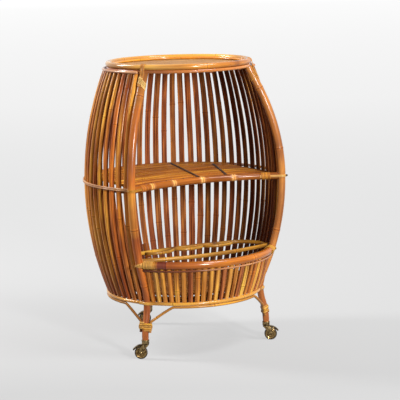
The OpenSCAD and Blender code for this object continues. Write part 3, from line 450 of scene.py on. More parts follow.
for mask, strength, blend, tint in (
        (ranged(tree, cloud, 0.42, 0.72), "Cloud", "MULTIPLY", (0.52, 0.36, 0.26, 1)),
        (ranged(tree, cloud, 0.56, 0.30), "Cloud", "SOFT_LIGHT", (1.0, 0.84, 0.48, 1)),
        (ranged(tree, fibre, 0.45, 0.75), "Fibre", "MULTIPLY", (0.46, 0.33, 0.25, 1)),
        (ranged(tree, fibre, 0.50, 0.28), "Fibre", "SOFT_LIGHT", (1.0, 0.92, 0.70, 1)),
        (ranged(tree, streak, 0.50, 0.66), "Groove", "MULTIPLY", (0.42, 0.27, 0.18, 1)),
        (ranged(tree, streak, 0.46, 0.32), "Groove", "SOFT_LIGHT", (1.0, 0.90, 0.62, 1)),
        # painted shade along the edges of a split cane
        (edge, "Groove", "MULTIPLY", (0.20, 0.11, 0.07, 1)),
        (ranged(tree, smudge, 0.60, 0.74), "Scorch", "MULTIPLY", (0.22, 0.12, 0.08, 1)),
        (ranged(tree, given["Knot"], 0.0100, 0.0035), "Collar", "SOFT_LIGHT", (1.0, 0.80, 0.50, 1)),
        (ring, "Ring", "MULTIPLY", (0.20, 0.10, 0.06, 1))):
    colour = tinted(tree, times(tree, mask, given[strength]), colour, tint, blend)
dull = sum_of(tree, ranged(tree, fibre, 0.3, 0.7, -0.06, 0.10), times(tree, bare, 0.35))
groove = times(tree, times(tree, ring, given["Ring"]), -2.0)
join(tree, colour, gives["Color"], sum_of(tree, dull, given["Gloss"]), gives["Roughness"],
     times(tree, given["Varnish"], sum_of(tree, 1.0, bare, "SUBTRACT")), gives["Coat"],
     sum_of(tree, fibre, groove), gives["Height"])
USUAL_CANE = {"fibre": 0.45, "cloud": 0.6, "scorch": 0.35, "collar": 0.45, "ring": 0.7, "groove": 0.35}


def finish_with(name, effect_group, bump, bump_deep, **values):
    """A material on that effect's colour, roughness and height, with a value for each of its inputs."""
    finish = bpy.data.materials.new(name)
    finish.use_nodes = True
    tree = finish.node_tree
    shader = tree.nodes["Principled BSDF"].inputs
    look = put(tree, "ShaderNodeGroup", node_tree=effect_group)
    for socket, value in values.items():
        look.inputs[socket.title()].default_value = value
    dent = put(tree, "ShaderNodeBump", Strength=bump, Distance=bump_deep)
    join(tree, look.outputs["Color"], shader["Base Color"], look.outputs["Roughness"], shader["Roughness"],
         look.outputs["Height"], dent.inputs["Height"], dent.outputs[0], shader["Normal"])
    return finish, look, shader


def cane_finish(name, bump=0.25, core=None, **values):
    """Cane under varnish. A split cane's core is the colour of its flat side."""
    if core:
        values.update(split=1.0, core=core)
    finish, look, shader = finish_with(name, cane_skin, bump, 0.0006, **{**USUAL_CANE, **values})
    shader["Coat Roughness"].default_value = 0.17
    shader["Specular IOR Level"].default_value = 0.08
    tree = finish.node_tree
    join(tree, look.outputs["Coat"], shader["Coat Weight"])
    for socket, output in (("grain", "Vector"), ("stain", "Color"), ("knot", "Fac")):
        carried = put(tree, "ShaderNodeAttribute", attribute_name=socket)
        join(tree, carried.outputs[output], look.inputs[socket.title()])
    return finish


def bore(bm, cap, rim, deep):
    """Bores the end for the caster's stem: leaves a rim, and draws the rest in."""
    bmesh.ops.inset_region(bm, faces=cap, thickness=rim, use_even_offset=True)
    pit = bmesh.ops.extrude_face_region(bm, geom=cap)["geom"]
    bmesh.ops.delete(bm, geom=cap, context="FACES_ONLY")
    bmesh.ops.translate(bm, verts=[g for g in pit if isinstance(g, bmesh.types.BMVert)], vec=(0, 0, deep))


# Up to each distance from the foot: the foot turned down for its socket, then leg, lower pole and a taper
POLE_THICKS = ((0.0108, 0.0232), (0.105, 0.0251), (0.165, 0.0255), (0.22, 0.0280), (0.60, 0.0283))


def pole_share(far):
    """How thick a pole is at that distance from its foot, as a share of its upper part."""
    return next((thick for limit, thick in POLE_THICKS if far < limit), POLE_THICK) / POLE_THICK


def pole(turn, top, stain, knot_heights):
    """A bent pole or leg with rings at the heights given."""
    line = [on_barrel(turn, r, z) for r, z in pole_line(top)]
    far, knots = 0.0, []
    for a, b in zip(line, line[1:]):
        knots += [far + (k - a.z) / (b.z - a.z) * (b - a).length for k in knot_heights if a.z < k <= b.z]
        far += (b - a).length
    bm, caps = cane(line, POLE_THICK, stain, knots, seed=abs(turn), sides=20, step=0.010, swell=0.05,
                    uneven=0.012, taper=pole_share)
    foot = min(caps, key=lambda cap: cap[0].calc_center_median().z)
    bore(bm, foot, 0.0059, 0.022)
    return bm, caps


pole_finish = cane_finish("pole_varnish", gloss=0.26, fibre=0.40, cloud=0.50, scorch=0.25, varnish=0.42,
                          bump=0.2)
worn_finish = cane_finish("worn_pole_varnish", gloss=0.32, cloud=0.60, scorch=0.30, varnish=0.34, bump=0.2)
honey, russet = dye(194, 126, 52), dye(164, 92, 46)
left_stain = [(0, russet), (0.38, dye(172, 92, 40)), (0.405, russet), (0.415, honey), (0.56, honey),
              (0.60, dye(158, 88, 38)), (0.868, dye(144, 80, 34)), (0.876, dye(148, 90, 38)),
              (1, dye(152, 96, 42))]
right_stain = [(0, dye(168, 98, 48)), (0.33, dye(184, 118, 60)), (0.62, dye(164, 106, 54)),
               (0.66, dye(150, 92, 48)), (0.90, dye(156, 98, 50)), (1, dye(184, 122, 60))]
for side, turn, top, stain, knot_heights, finish in (
        ("left_pole", -POLE_TURN, WALL_TOP, left_stain, (0.273, 0.491, 0.9666), worn_finish),
        ("right_pole", POLE_TURN, WALL_TOP, right_stain, (0.273, 0.4295, 0.739, 0.9666), pole_finish),
        ("rear_leg", 180, REAR_LEG_TOP, [(0, russet), (1, dye(170, 96, 36))], (0.273,), pole_finish)):
    piece(side + "_cane", [pole(turn, top, stain, knot_heights)], finish, side)


# Wall: 43 split canes stand side by side round the closed part, bark outwards, sawn off level under the rim
# and on the foot hoop. No two are quite as thick, as straight or as dark, so light shows between them in
# uneven slits. Each is a little thicker at its foot, and those on the right are narrower and darker with
# painted shade.
WALL_R, WALL_BELLY_Z, WALL_BOW, WALL_DEEP = 0.3675, 0.616, 1.151, 0.011
FOOT_TOP = 0.21214
WALL_START = 5.6
WALL_PITCH = 2 * (180 - POLE_TURN - WALL_START) / 42
# Groove at 1.0 strengthens the grain streaks and the painted shade along the canes' edges.
wall_look = {"gloss": 0.34, "fibre": 0.55, "cloud": 0.70, "scorch": 0.45, "varnish": 0.15, "bump": 0.3,
             "collar": 0.25, "ring": 0.5, "groove": 1.0}
wall_finish = cane_finish("wall_varnish", core=dye(130, 73, 52), **wall_look)
# The right wall's canes get a darker core and a darker stain: painted shade.
painted_shade_wall_finish = cane_finish("painted_shade_wall_varnish", core=dye(76, 41, 31), **wall_look)
wall_dark, wall_red = dye(150, 84, 36), dye(182, 100, 42)
wall_gold, wall_tan = dye(216, 146, 62), dye(200, 124, 54)


def shaded(tone, share):
    """A tone darkened to that share."""
    return [share * c for c in tone[:3]]


def stave_line(turn, low_z, high_z, deep):
    """The flat side of a split cane that stands in the wall or basket, from one height to another."""
    middle_r, bow = WALL_R - WALL_BOW, WALL_BOW - deep
    heights = [low_z + (high_z - low_z) * i / 160 for i in range(161)]
    return [on_barrel(turn, middle_r + math.sqrt(bow ** 2 - (z - WALL_BELLY_Z) ** 2), z) for z in heights]


def saw(bm, at, away):
    """Saws a cane off at a point and takes what lies beyond it, in the direction away."""
    everything = bm.verts[:] + bm.edges[:] + bm.faces[:]
    cut = bmesh.ops.bisect_plane(bm, geom=everything, dist=1e-6, plane_co=at, plane_no=away, clear_outer=True)
    bmesh.ops.edgeloop_fill(bm, edges=[g for g in cut["geom_cut"] if isinstance(g, bmesh.types.BMEdge)])
    bmesh.ops.recalc_face_normals(bm, faces=bm.faces[:])


def stave(turn, low_z, high_z, thick, deep, stain, knots, seed, wander=0.0020, taper=None):
    """A standing split cane, sawn off level at both ends."""
    line = stave_line(turn, low_z - 0.004, high_z + 0.004, deep)
    bm, caps = cane(line, thick, stain, knots, seed=seed, sides=16, step=0.016, swell=0.05, wander=wander,
                    uneven=0.05, facing=[turned_to(turn)] * len(line), deep=deep, taper=taper)
    saw(bm, (0, 0, low_z), (0, 0, -1))
    saw(bm, (0, 0, high_z), (0, 0, 1))
    return bm, caps


def foot_swell(far):
    """How much thicker a wall cane is at that distance from its foot."""
    return 1.10 - 0.10 * min(1, far / 0.50)


def wall_cane(k, shade=1.0, width=0.0229):
    """Wall cane k, counted from the middle of the back, about that wide, its stain darkened by painted shade
    to that share.
    """
    chance = random.Random(700 + k)
    thick = width + chance.uniform(-0.0022, 0.0008)
    base = chance.choice([wall_red, wall_gold, wall_tan, wall_tan, wall_dark, wall_red])
    other = chance.choice([wall_red, wall_gold, wall_tan, wall_gold])
    # The last two stops darken each cane over its top end: painted shade under the rim.
    stain = [(0, [base[0] * 0.80, base[1] * 0.70, base[2]]), (chance.uniform(0.25, 0.4), other),
             (chance.uniform(0.5, 0.8), base), (0.93, shaded(other, 0.80)), (1, shaded(base, 0.5))]
    turn = 180 + k * WALL_PITCH + chance.uniform(-0.20, 0.20)
    # Painted shade: the stain is darkened to the share given by shade (0.8 on the right wall).
    stain = [(place, shaded(tone, shade)) for place, tone in stain]
    low_z = REAR_LEG_TOP + SEAT if k == 0 else FOOT_TOP
    knots = knots_along(0.83, 90 + k, 0.38, 0.62)
    return stave(turn, low_z, WALL_TOP, thick, WALL_DEEP, stain, knots, k + 50, taper=foot_swell)


piece("left_wall", [wall_cane(k) for k in range(8, 22)], wall_finish, "left_wall_canes")
piece("rear_wall", [wall_cane(k) for k in range(-7, 8)], wall_finish, "rear_wall_canes")
piece("right_wall", [wall_cane(k, 0.8, 0.0214) for k in range(-21, -7)], painted_shade_wall_finish, "right_wall_canes")


# Foot: three lengths of cane between the legs at the waist carry the wall, and a split length crosses the
# front of each leg. Inside them one hoop carries two bearers and, on them, the close thin canes of the
# basket's floor, and a second one below it closes the gap.
WAIST_R, WAIST_Z = 0.29131, 0.2053
LEG_THICK, FOOT_THICK = 0.0255, 0.013
THIN = 0.012
BEARER_Z, FLOOR_Z, FLOOR_R = 0.2241, 0.2364, 0.27868
rail_finish = cane_finish("rail_varnish", gloss=0.22, fibre=0.35, cloud=0.50, scorch=0.40, varnish=0.65,
                          bump=0.15)
plain_finish = cane_finish("plain_cane", gloss=0.42, fibre=0.5, cloud=0.5, scorch=0.3, varnish=0.1, bump=0.3)
straw, tan, brown = dye(210, 152, 66), dye(170, 112, 50), dye(112, 64, 30)
middle = (0, AXIS_Y)


def hoop(r, z, thick, start, end, stain, seed, middle=middle, least=0.20, most=0.36, **more):
    """A level cane bent round a middle, from one turn to another."""
    knots = knots_along(r * math.radians(abs(end - start)), seed, least, most)
    return cane(level_arc(middle, r, z, start, end), thick, stain, knots, seed=seed, **more)


def foot_lap(turn):
    """The split length that carries the foot hoop across a leg, led by places [across, out from it]."""
    side = [(0.028, 0.0069), (0.0185, 0.0069), (0.0135, 0.0077), (0.0100, 0.0098), (0.0055, 0.0127)]
    path = [(-x, out) for x, out in side] + [(0, 0.0138)] + side[::-1]
    line = [on_barrel(turn + math.degrees(x / WAIST_R), WAIST_R + out, WAIST_Z) for x, out in path]
    runs = [heading(line, i) for i in range(len(line))]
    facing = [Vector((run.y, -run.x, 0)).normalized() for run in runs]
    return cane(line, 0.0126, [(0, straw), (1, dye(204, 142, 60))], seed=turn, sides=16, step=0.004,
                facing=facing, deep=0.0034)


foot_stain = [(0, straw), (0.35, dye(202, 140, 56)), (0.6, straw), (1, dye(196, 130, 50))]
foot_stop = math.degrees(math.asin((LEG_THICK / 2 + SEAT) / WAIST_R))
foot_parts = []
for start, end, seed in ((-POLE_TURN, POLE_TURN, 3), (POLE_TURN, 180, 5), (180, 360 - POLE_TURN, 8)):
    foot_parts.append(hoop(WAIST_R, WAIST_Z, FOOT_THICK, start + foot_stop, end - foot_stop, foot_stain, seed,
                           sides=16, step=0.010))
foot_parts += [foot_lap(turn) for turn in LEG_PLACES]
piece("foot_hoop", foot_parts, rail_finish, "base_hoop")
floor_hoops = [hoop(r, z, THIN, 180.1, 539.9, [(0, brown)], 11)
               for r, z in ((0.2733, BEARER_Z), (0.2712, 0.2135))]
piece("floor_hoop", floor_hoops, plain_finish, "base_inner_hoop")
bearers = []
for i, y in enumerate((-0.1, 0.1)):
    line = [Vector((x, AXIS_Y + y, BEARER_Z)) for x in (-0.245, 0.245)]
    bearers.append(cane(line, THIN, [(0, brown)], (0.13, 0.37), seed=12 + i))
piece("floor_bearers_cane", bearers, plain_finish, "floor_bearers")
floor_canes = []
for i in range(29):
    x = (i - 14) * 0.017
    half = math.sqrt(FLOOR_R ** 2 - (abs(x) + THIN / 2) ** 2)
    line = [Vector((x, AXIS_Y + y, FLOOR_Z)) for y in (-half, half)]
    floor_canes.append(cane(line, THIN, [(0, tan), (1, brown)], knots_along(2 * half, 20 + i, 0.16, 0.30),
                            seed=30 + i, wander=0.0008))
piece("floor_rods", floor_canes, plain_finish, "floor_canes")


# Rim: a stout hoop on a thinner one, both butted at the back, with a thin hoop bent inside them over the
# top's edge. A fourth, thin one runs outside the wall over the ends of its canes, from pole to pole.
RIM_R, RIM_Z, RIM_THICK = 0.264, 1.070, 0.020
rim_finish = cane_finish("rim_varnish", gloss=0.20, fibre=0.32, cloud=0.42, scorch=0.45, varnish=0.65,
                         bump=0.12)
rim_stain = [(0, dye(200, 136, 58)), (0.15, straw), (0.17, dye(132, 104, 74)), (0.19, dye(196, 146, 84)),
             (0.3, dye(200, 144, 66)), (0.37, dye(206, 152, 76)), (0.45, dye(190, 124, 46)),
             (0.55, dye(186, 116, 42)), (0.57, dye(146, 88, 36)), (0.585, dye(188, 118, 44)),
             (0.662, dye(176, 108, 46)), (0.672, dye(60, 38, 26)), (0.685, dye(96, 62, 38)), (0.70, straw),
             (1, dye(198, 132, 52))]
rose = dye(172, 104, 54)
under_stain = [(0, rose), (0.45, rose), (0.6, dye(190, 118, 58)), (1, rose)]
inner_stain = [(0, dye(212, 136, 48)), (0.5, dye(218, 148, 60)), (1, dye(208, 128, 44))]
trim_stain_and_shade = [(0, dye(186, 124, 90)), (0.5, dye(180, 116, 80)), (1, dye(196, 142, 104))]
rim_hoops = (
    ("rim", RIM_R, RIM_Z, RIM_THICK, -179.96, 179.96, rim_stain, 17, 20, 0.015, "rim_hoop", "rim_cane"),
    ("hoop_under_rim", RIM_R, 1.0532, 0.013, -176, 183.9, under_stain, 19, 16, 0.02, "under_hoop",
     "rim_cane"),
    ("thin_inner_hoop", 0.2492, 1.066, 0.009, 150.1, 509.9, inner_stain, 23, 12, 0.02, "inner_hoop",
     "trim_cane"),
    ("trim_over_wall", 0.2832, 1.0512, 0.009, 59.7, 300.3, trim_stain_and_shade, 29, 12, 0.02, "wall_trim",
     "trim_cane"))
for name, r, z, thick, start, end, stain, seed, sides, uneven, node, slot in rim_hoops:
    bent = hoop(r, z, thick, start, end, stain, seed, sides=sides, step=0.008, uneven=uneven)
    piece(name, [bent], rim_finish, node)


# Top: 43 split canes lie side by side on three bearers, bark upwards, cut to the round of the rim.
TOP_R, TOP_Z, SLAT_PITCH, SLAT_WIDE = 0.2569, 1.0562, 0.0119488, 0.01135
BEARER_THICK = 0.014
BEARERS_X = (-0.15, 0, 0.15)
UP = Vector((0, 0, 1))
top_finish = cane_finish("top_varnish", gloss=0.30, fibre=0.40, cloud=0.45, scorch=0.25, varnish=0.2,
                         bump=0.2, core=dye(150, 96, 52))
slats = []
chance = random.Random(41)
for i in range(43):
    y = (i - 21) * SLAT_PITCH
    reach = math.sqrt(max(TOP_R ** 2 - y ** 2, 0.0006))
    tone = chance.choice([dye(172, 124, 64), dye(164, 114, 58), dye(178, 132, 72), dye(156, 104, 52)])
    line = [Vector((x, AXIS_Y + y, TOP_Z)) for x in (-reach - 0.02, reach + 0.02)]
    bm, caps = cane(line, SLAT_WIDE, [(0, tone)], knots_along(2 * reach, 60 + i, 0.15, 0.34), seed=80 + i,
                    sides=16, step=0.02, swell=0.02, facing=[UP, UP], deep=0.005)
    for side in (-1, 1):
        edge = Vector((side * reach, y, 0)).normalized() * (TOP_R - SEAT)
        saw(bm, edge + Vector((0, AXIS_Y, 1.06)), edge)
    slats.append((bm, caps))
piece("top_slats", slats, top_finish, "top_canes")
bearers = []
for i, x in enumerate(BEARERS_X):
    half = math.sqrt(TOP_R ** 2 - (abs(x) + BEARER_THICK / 2) ** 2)
    line = [Vector((x, AXIS_Y + y, 1.0489)) for y in (-half, half)]
    bearers.append(cane(line, BEARER_THICK, [(0, brown)], (0.14, 0.36), seed=70 + i))
piece("top_bearer_rods", bearers, plain_finish, "top_bearers")


# Belly hoop: two thin strands, one on the other, round the outside of the wall at the shelf's height.
# They end under the straps that bind the shelf to the poles.
SHELF_Z, STRAND_R, STRAND_THICK = 0.635, 0.3706, 0.0056
strand_finish = cane_finish("strand_varnish", gloss=0.34, fibre=0.5, cloud=0.5, scorch=0.25, varnish=0.2)
belly_stop = POLE_TURN + math.degrees(math.asin(0.0175 / STRAND_R))
strands = []
for side, tone, other in ((-1, dye(190, 138, 96), dye(176, 118, 74)),
                          (1, dye(206, 156, 114), dye(190, 130, 84))):
    strands.append(hoop(STRAND_R, SHELF_Z + side * 0.00295, STRAND_THICK, belly_stop, 360 - belly_stop,
                        [(0, tone), (0.5, other), (1, tone)], 31 + side, sides=10, step=0.008, least=0.3,
                        most=0.5))
piece("belly_strands", strands, strand_finish, "belly_hoop")


# Shelf: 35 canes bent alike lie side by side behind a stouter rail, on a hoop inside the wall and three
# bearers. Two dark battens lie across them. Nail heads show on the first cane and on the right strap.
SHELF_R, SHELF_PITCH, POST_X = 0.66027, 0.0134, 0.315029
RAIL_X = 0.31503
BOW_Y = 0.79276
FIRST_R = SHELF_R + 0.020102
SHELF_BEARER_Z, WALL_INSIDE = 0.6245, 0.348292
shelf_middle = (0, AXIS_Y - BOW_Y)
shelf_finish = cane_finish("shelf_varnish", gloss=0.36, fibre=0.6, scorch=0.4, varnish=0.12, bump=0.3,
                           groove=0.6)
shelf_rail_finish = cane_finish("shelf_rail_varnish", gloss=0.22, fibre=0.35, cloud=0.45, scorch=0.30,
                                varnish=0.32, bump=0.15, collar=1.0)
rail_half = math.degrees(math.asin(RAIL_X / SHELF_R)) - 0.9
rail_line = level_arc(shelf_middle, SHELF_R, SHELF_Z, 180 + rail_half, 180 - rail_half)
rail_knots = [SHELF_R * (math.radians(rail_half) + math.asin(RAIL_X * k / SHELF_R))
              for k in (-0.68, -0.345, 0.05, 0.45)]
rail_stain = [(0, dye(148, 82, 28))]
for k, tone in zip(rail_knots, (dye(144, 79, 24), dye(152, 86, 28), dye(144, 79, 22), dye(144, 80, 24))):
    place = k / (2 * SHELF_R * math.radians(rail_half))
    rail_stain += [(place - 0.015, tone), (place - 0.008, dye(204, 152, 104)),
                   (place + 0.010, dye(188, 132, 84)), (place + 0.016, tone)]
rail_stain.append((1, dye(150, 86, 30)))
front_rail = cane(rail_line, 0.025, rail_stain, rail_knots, seed=37, sides=18, step=0.008, swell=0.06)
piece("shelf_front_rail", [front_rail], shelf_rail_finish, "shelf_rail")
piece("shelf_ring", [hoop(0.34857, SHELF_BEARER_Z, BEARER_THICK, 61, 299, [(0, brown)], 43)], plain_finish,
      "shelf_hoop")
bearers = []
for i, x in enumerate(BEARERS_X):
    front = -BOW_Y + math.sqrt(0.674372 ** 2 - (abs(x) - BEARER_THICK / 2) ** 2) + 0.0004
    back = math.sqrt(0.341268 ** 2 - (abs(x) + BEARER_THICK / 2) ** 2)
    line = [Vector((x, AXIS_Y + y, SHELF_BEARER_Z)) for y in (front, back)]
    bearers.append(cane(line, BEARER_THICK, [(0, brown)], (0.11, 0.31), seed=47 + i))
piece("shelf_bearer_rods", bearers, plain_finish, "shelf_bearers")
shelf_rods = []
for i in range(35):
    chance = random.Random(300 + i)
    r = FIRST_R + i * SHELF_PITCH
    reach = math.acos((r ** 2 + BOW_Y ** 2 - WALL_INSIDE ** 2) / (2 * r * BOW_Y))
    stop = math.asin((POST_X - (0.090 if i == 0 else 0.027)) / r)
    half = math.degrees(min(reach, stop))
    tone = chance.choice([dye(208, 134, 48), dye(190, 114, 38), dye(220, 150, 60), dye(166, 92, 34)])
    if i == 0:
        tone = dye(208, 152, 78)
    thick = 0.0122 - chance.uniform(0, 0.0006)
    # Each cane darkens towards its right end: painted shade from the right wall.
    stain = [(0, tone), (chance.uniform(0.3, 0.6), shaded(tone, 0.85)), (1, shaded(tone, 0.55))]
    shelf_rods.append(hoop(r, 0.6378, thick, 180 + half, 180 - half, stain, 500 + i, middle=shelf_middle,
                           least=0.18, most=0.34, sides=12, wander=0.0003))
piece("shelf_rods", shelf_rods, shelf_finish, "shelf_canes")
batten_finish = cane_finish("batten_stain", gloss=0.5, fibre=0.6, cloud=0.5, scorch=0.3, varnish=0.05,
                            bump=0.35)


def nail(at, out, wide, high):
    """A round nail head that stands out that way."""
    return cane([at, at + high * out], wide, [(0, dye(34, 24, 18))], sides=12, step=0.0008, uneven=0,
                taper=lambda far: 1 - 0.4 * (far / high) ** 2)


battens = []
for x in (-0.128, -0.052, 0.03):
    on_first = Vector((x, shelf_middle[1] + math.sqrt(FIRST_R ** 2 - x ** 2), 0.6436))
    battens.append(nail(on_first, UP, 0.006, 0.0018))
battens.append(nail(Vector((0.3296, AXIS_Y - 0.2202, SHELF_Z)), Vector((0.886, -0.463, 0)), 0.0085, 0.0062))
for i, ends in enumerate((((0.016, -0.110), (0.106, 0.290)), ((0.128, -0.120), (0.232, 0.170)))):
    line = [Vector((x, AXIS_Y + y, 0.6441)) for x, y in ends]
    battens.append(cane(line, 0.010, [(0, dye(74, 44, 24)), (1, dye(60, 36, 20))], seed=90 + i, sides=16,
                        step=0.02, uneven=0.05, facing=[UP, UP], deep=0.003))
piece("battens", battens, batten_finish, "shelf_battens")


# Basket: a stout rail bowed out between the poles, with split canes standing under it and a thin trim cane
# over their upper ends.
BASKET_R, BASKET_Z, BASKET_HALF = 0.33298, 0.357, 55.2
TRIM_Z = 0.3367
# Groove here sets the grain streaks and the painted shade along the staves' edges.
basket_finish = cane_finish("basket_varnish", gloss=0.32, fibre=0.50, cloud=0.60, scorch=0.40, varnish=0.2,
                            bump=0.3, ring=0.45, groove=0.95, core=dye(120, 66, 38))
basket_stain = [(0, dye(204, 144, 58)), (0.095, dye(200, 138, 54)), (0.100, dye(128, 60, 36)),
                (0.150, dye(116, 50, 32)), (0.160, dye(160, 82, 20)), (0.5, dye(184, 106, 24)),
                (0.8, dye(176, 98, 24)), (1, dye(160, 86, 26))]
basket_line = level_arc(middle, BASKET_R, BASKET_Z, -BASKET_HALF, BASKET_HALF)
basket_knots = [BASKET_R * math.radians(turn + BASKET_HALF) for turn in (-45.0, -38.7, 22, 47)]
front_rail = cane(basket_line, 0.028, basket_stain, basket_knots, seed=53, sides=20, step=0.008, swell=0.03)
piece("basket_front_rail", [front_rail], rail_finish, "basket_rail")
trim_r = (stave_line(0, 0.336, TRIM_Z, 0)[-1] - Vector((0, AXIS_Y, 0))).xy.length + 0.0041
trim_half = POLE_TURN - math.degrees(math.asin(0.0143 / trim_r))
# Dark brown over its left part, painted shade under the rail, then paling to tan.
trim_stain_and_shade = [(0, dye(96, 54, 40)), (0.30, dye(120, 68, 46)), (0.42, dye(190, 134, 92)),
              (1, dye(196, 140, 104))]
thin_trim = hoop(trim_r, TRIM_Z, 0.007, -trim_half, trim_half, trim_stain_and_shade, 59, sides=10, step=0.008)
piece("basket_thin_trim", [thin_trim], strand_finish, "basket_trim")
basket_tones = (dye(222, 156, 76), dye(206, 132, 60), dye(228, 168, 84), dye(192, 116, 56), dye(218, 148, 68),
                dye(172, 102, 60))
basket_staves = []
for k in range(23):
    chance = random.Random(870 + k)
    tone = chance.choice(basket_tones)
    turn = -51.1 + k * 4.64545 + chance.uniform(-0.15, 0.15)
    top = 0.3402 if min(k, 22 - k) < 2 else 0.3427
    thick = 0.0198 + chance.uniform(-0.0012, 0.0004)
    knots = [chance.uniform(0.02, 0.11)] if chance.random() < 0.25 else []
    stain = [(0, tone), (1, shaded(tone, 0.85))]
    basket_staves.append(stave(turn, FOOT_TOP, top, thick, 0.0095, stain, knots, 900 + k, wander=0.0006))
piece("basket_staves", basket_staves, basket_finish, "basket_canes")


# Rack: a front rail bowed towards the basket, a back rail with bent corners that come forward to it,
# and in front of that one three scallops, each to hold a bottle.
RACK_Z, RACK_THICK = 0.366, 0.015
FRONT_BOW, FRONT_MIDDLE, FRONT_X = 0.78775, 0.57639, 0.2890
BACK_BOW, BACK_Y, BACK_X, CORNER_BOW = 1.4, -0.0233614, 0.190184, 0.096
SCALLOP_HALF, SCALLOP_DEEP, SCALLOP_THICK = 0.0625, 0.026, 0.011
rack_finish = cane_finish("rack_varnish", gloss=0.28, cloud=0.65, scorch=0.55, varnish=0.25)
# Where one cane laps over another it is painted dark brown: painted shadow.
pale_gold, painted_lap_shadow = dye(146, 102, 38), dye(78, 44, 20)
front_half = math.degrees(math.asin(FRONT_X / FRONT_BOW))
piece("rack_rail", [hoop(FRONT_BOW, RACK_Z, RACK_THICK, -front_half, front_half,
                         [(0, pale_gold), (0.5, dye(162, 116, 50)), (1, pale_gold)], 61,
                         middle=(0, AXIS_Y + FRONT_MIDDLE), sides=14, step=0.010)],
      rack_finish, "rack_front_rail")
back_middle = (0, AXIS_Y + BACK_Y - BACK_BOW)
back_half = math.degrees(math.asin(BACK_X / BACK_BOW))
corner_middle = Vector((*back_middle, 0)) + (BACK_BOW - CORNER_BOW) * turned_to(180 - back_half)
right_corner = level_arc(corner_middle.xy, CORNER_BOW, RACK_Z, 180 - back_half, 76 - back_half)
left_corner = [Vector((-p.x, p.y, p.z)) for p in right_corner]
back_line = level_arc(back_middle, BACK_BOW, RACK_Z, 180 + back_half, 180 - back_half)
back_line = left_corner[::-1] + back_line[1:-1] + right_corner
# painted shadow at the two laps
back_stain = [(0, pale_gold), (0.3, dye(186, 138, 58)), (0.42, painted_lap_shadow), (0.46, pale_gold),
              (0.62, dye(176, 122, 50)), (0.66, painted_lap_shadow), (0.7, pale_gold), (1, pale_gold)]
bent_rail = cane(back_line, RACK_THICK, back_stain, knots_along(0.72, 67, 0.1, 0.2), seed=67, sides=14,
                 step=0.008)
piece("rack_bent_rail", [bent_rail], rack_finish, "rack_back_rail")
scallop_bow = (SCALLOP_HALF ** 2 + SCALLOP_DEEP ** 2) / (2 * SCALLOP_DEEP)
slope = math.degrees(math.asin(SCALLOP_HALF / scallop_bow))
against = BACK_BOW - RACK_THICK / 2 - SEAT
tip = math.sqrt(against ** 2 - SCALLOP_HALF ** 2) - SCALLOP_THICK / 2 / math.cos(math.radians(slope))
# painted shadow at both ends, where the scallops meet the back rail
scallop_stain = [(0, painted_lap_shadow), (0.15, pale_gold), (0.85, dye(190, 140, 62)), (1, painted_lap_shadow)]
scallops = []
for i in (-1, 0, 1):
    spin = Matrix.Rotation(i * 2 * math.asin(SCALLOP_HALF / BACK_BOW), 4, "Z")
    spin = Matrix.Translation((*back_middle, RACK_Z)) @ spin
    line = level_arc((0, tip - SCALLOP_DEEP + scallop_bow), scallop_bow, 0, -slope - 5, slope + 5)
    bm, caps = cane([spin @ p for p in line], SCALLOP_THICK, scallop_stain, (0.07,), seed=71 + i, sides=14,
                    step=0.006)
    for side in (-1, 1):
        saw(bm, spin @ Vector((side * (SCALLOP_HALF - SEAT), tip, 0)), spin.to_3x3() @ Vector((side, 0, 0)))
    scallops.append((bm, caps))
piece("rack_scallops", scallops, rack_finish, "rack_scallop")


# Braces: from each leg to the next a thin cane climbs to the underside of the foot hoop, follows it and
# comes down. Its ends stand against the legs under the lashing.
BRACE_THICK, BRACE_Z, BRACE_MEETS = 0.010, 0.1935, 20
brace_foot = math.degrees(math.asin(0.01805 / WAIST_R))
brace_finish = cane_finish("brace_varnish", gloss=0.34, scorch=0.4, varnish=0.2)


def climb(t):
    """Place [turn from the leg, height] on the way from the leg up to the foot hoop."""
    bends = ((0, 0.137), (0.28, 0.156), (0.74, 0.1830), (1, BRACE_Z))
    shares = ((1 - t) ** 3, 3 * t * (1 - t) ** 2, 3 * t ** 2 * (1 - t), t ** 3)
    turn, z = [sum(share * bend[i] for share, bend in zip(shares, bends)) for i in (0, 1)]
    return brace_foot + turn * (BRACE_MEETS - brace_foot), z


def brace(start, end, seed, tone):
    """A brace from the leg at one turn to the leg at another."""
    way_up = [(brace_foot, 0.099), (brace_foot, 0.118)] + [climb(i / 16) for i in range(17)]
    wide = end - start
    along = [(BRACE_MEETS + (wide - 2 * BRACE_MEETS) * i / 12, BRACE_Z) for i in range(1, 12)]
    way = way_up + along + [(wide - turn, z) for turn, z in way_up[::-1]]
    line = [on_barrel(start + turn, pole_r(z), z) for turn, z in way]
    stain = [(0, tone), (0.5, dye(196, 136, 58)), (1, tone)]
    return cane(line, BRACE_THICK, stain, knots_along(0.7, seed, 0.15, 0.3), seed=seed, sides=12, step=0.006)


# The left brace's dark brown end tone is painted shade.
for side, start, end, seed, tone in (("front", -POLE_TURN, POLE_TURN, 73, dye(170, 116, 58)),
                                     ("right", POLE_TURN, 180, 79, dye(178, 114, 46)),
                                     ("left", 180, 360 - POLE_TURN, 83, dye(92, 54, 30))):
    piece(side + "_brace_cane", [brace(start, end, seed, tone)], brace_finish, side + "_brace")


# Binding: strips of split peel hold every joint. A strap runs along the rail or over the rim and round the
# pole, and flat turns wound over it draw it fast. At the legs and the basket's rail the last turns cross.
STRIP, STRIP_DEEP, TURN_UP = 0.0062, 0.0016, 0.007
peel_finish = cane_finish("peel", gloss=0.36, fibre=0.55, varnish=0.15, bump=0.35)
peel_pale, peel_gold = dye(206, 154, 82), dye(200, 144, 58)


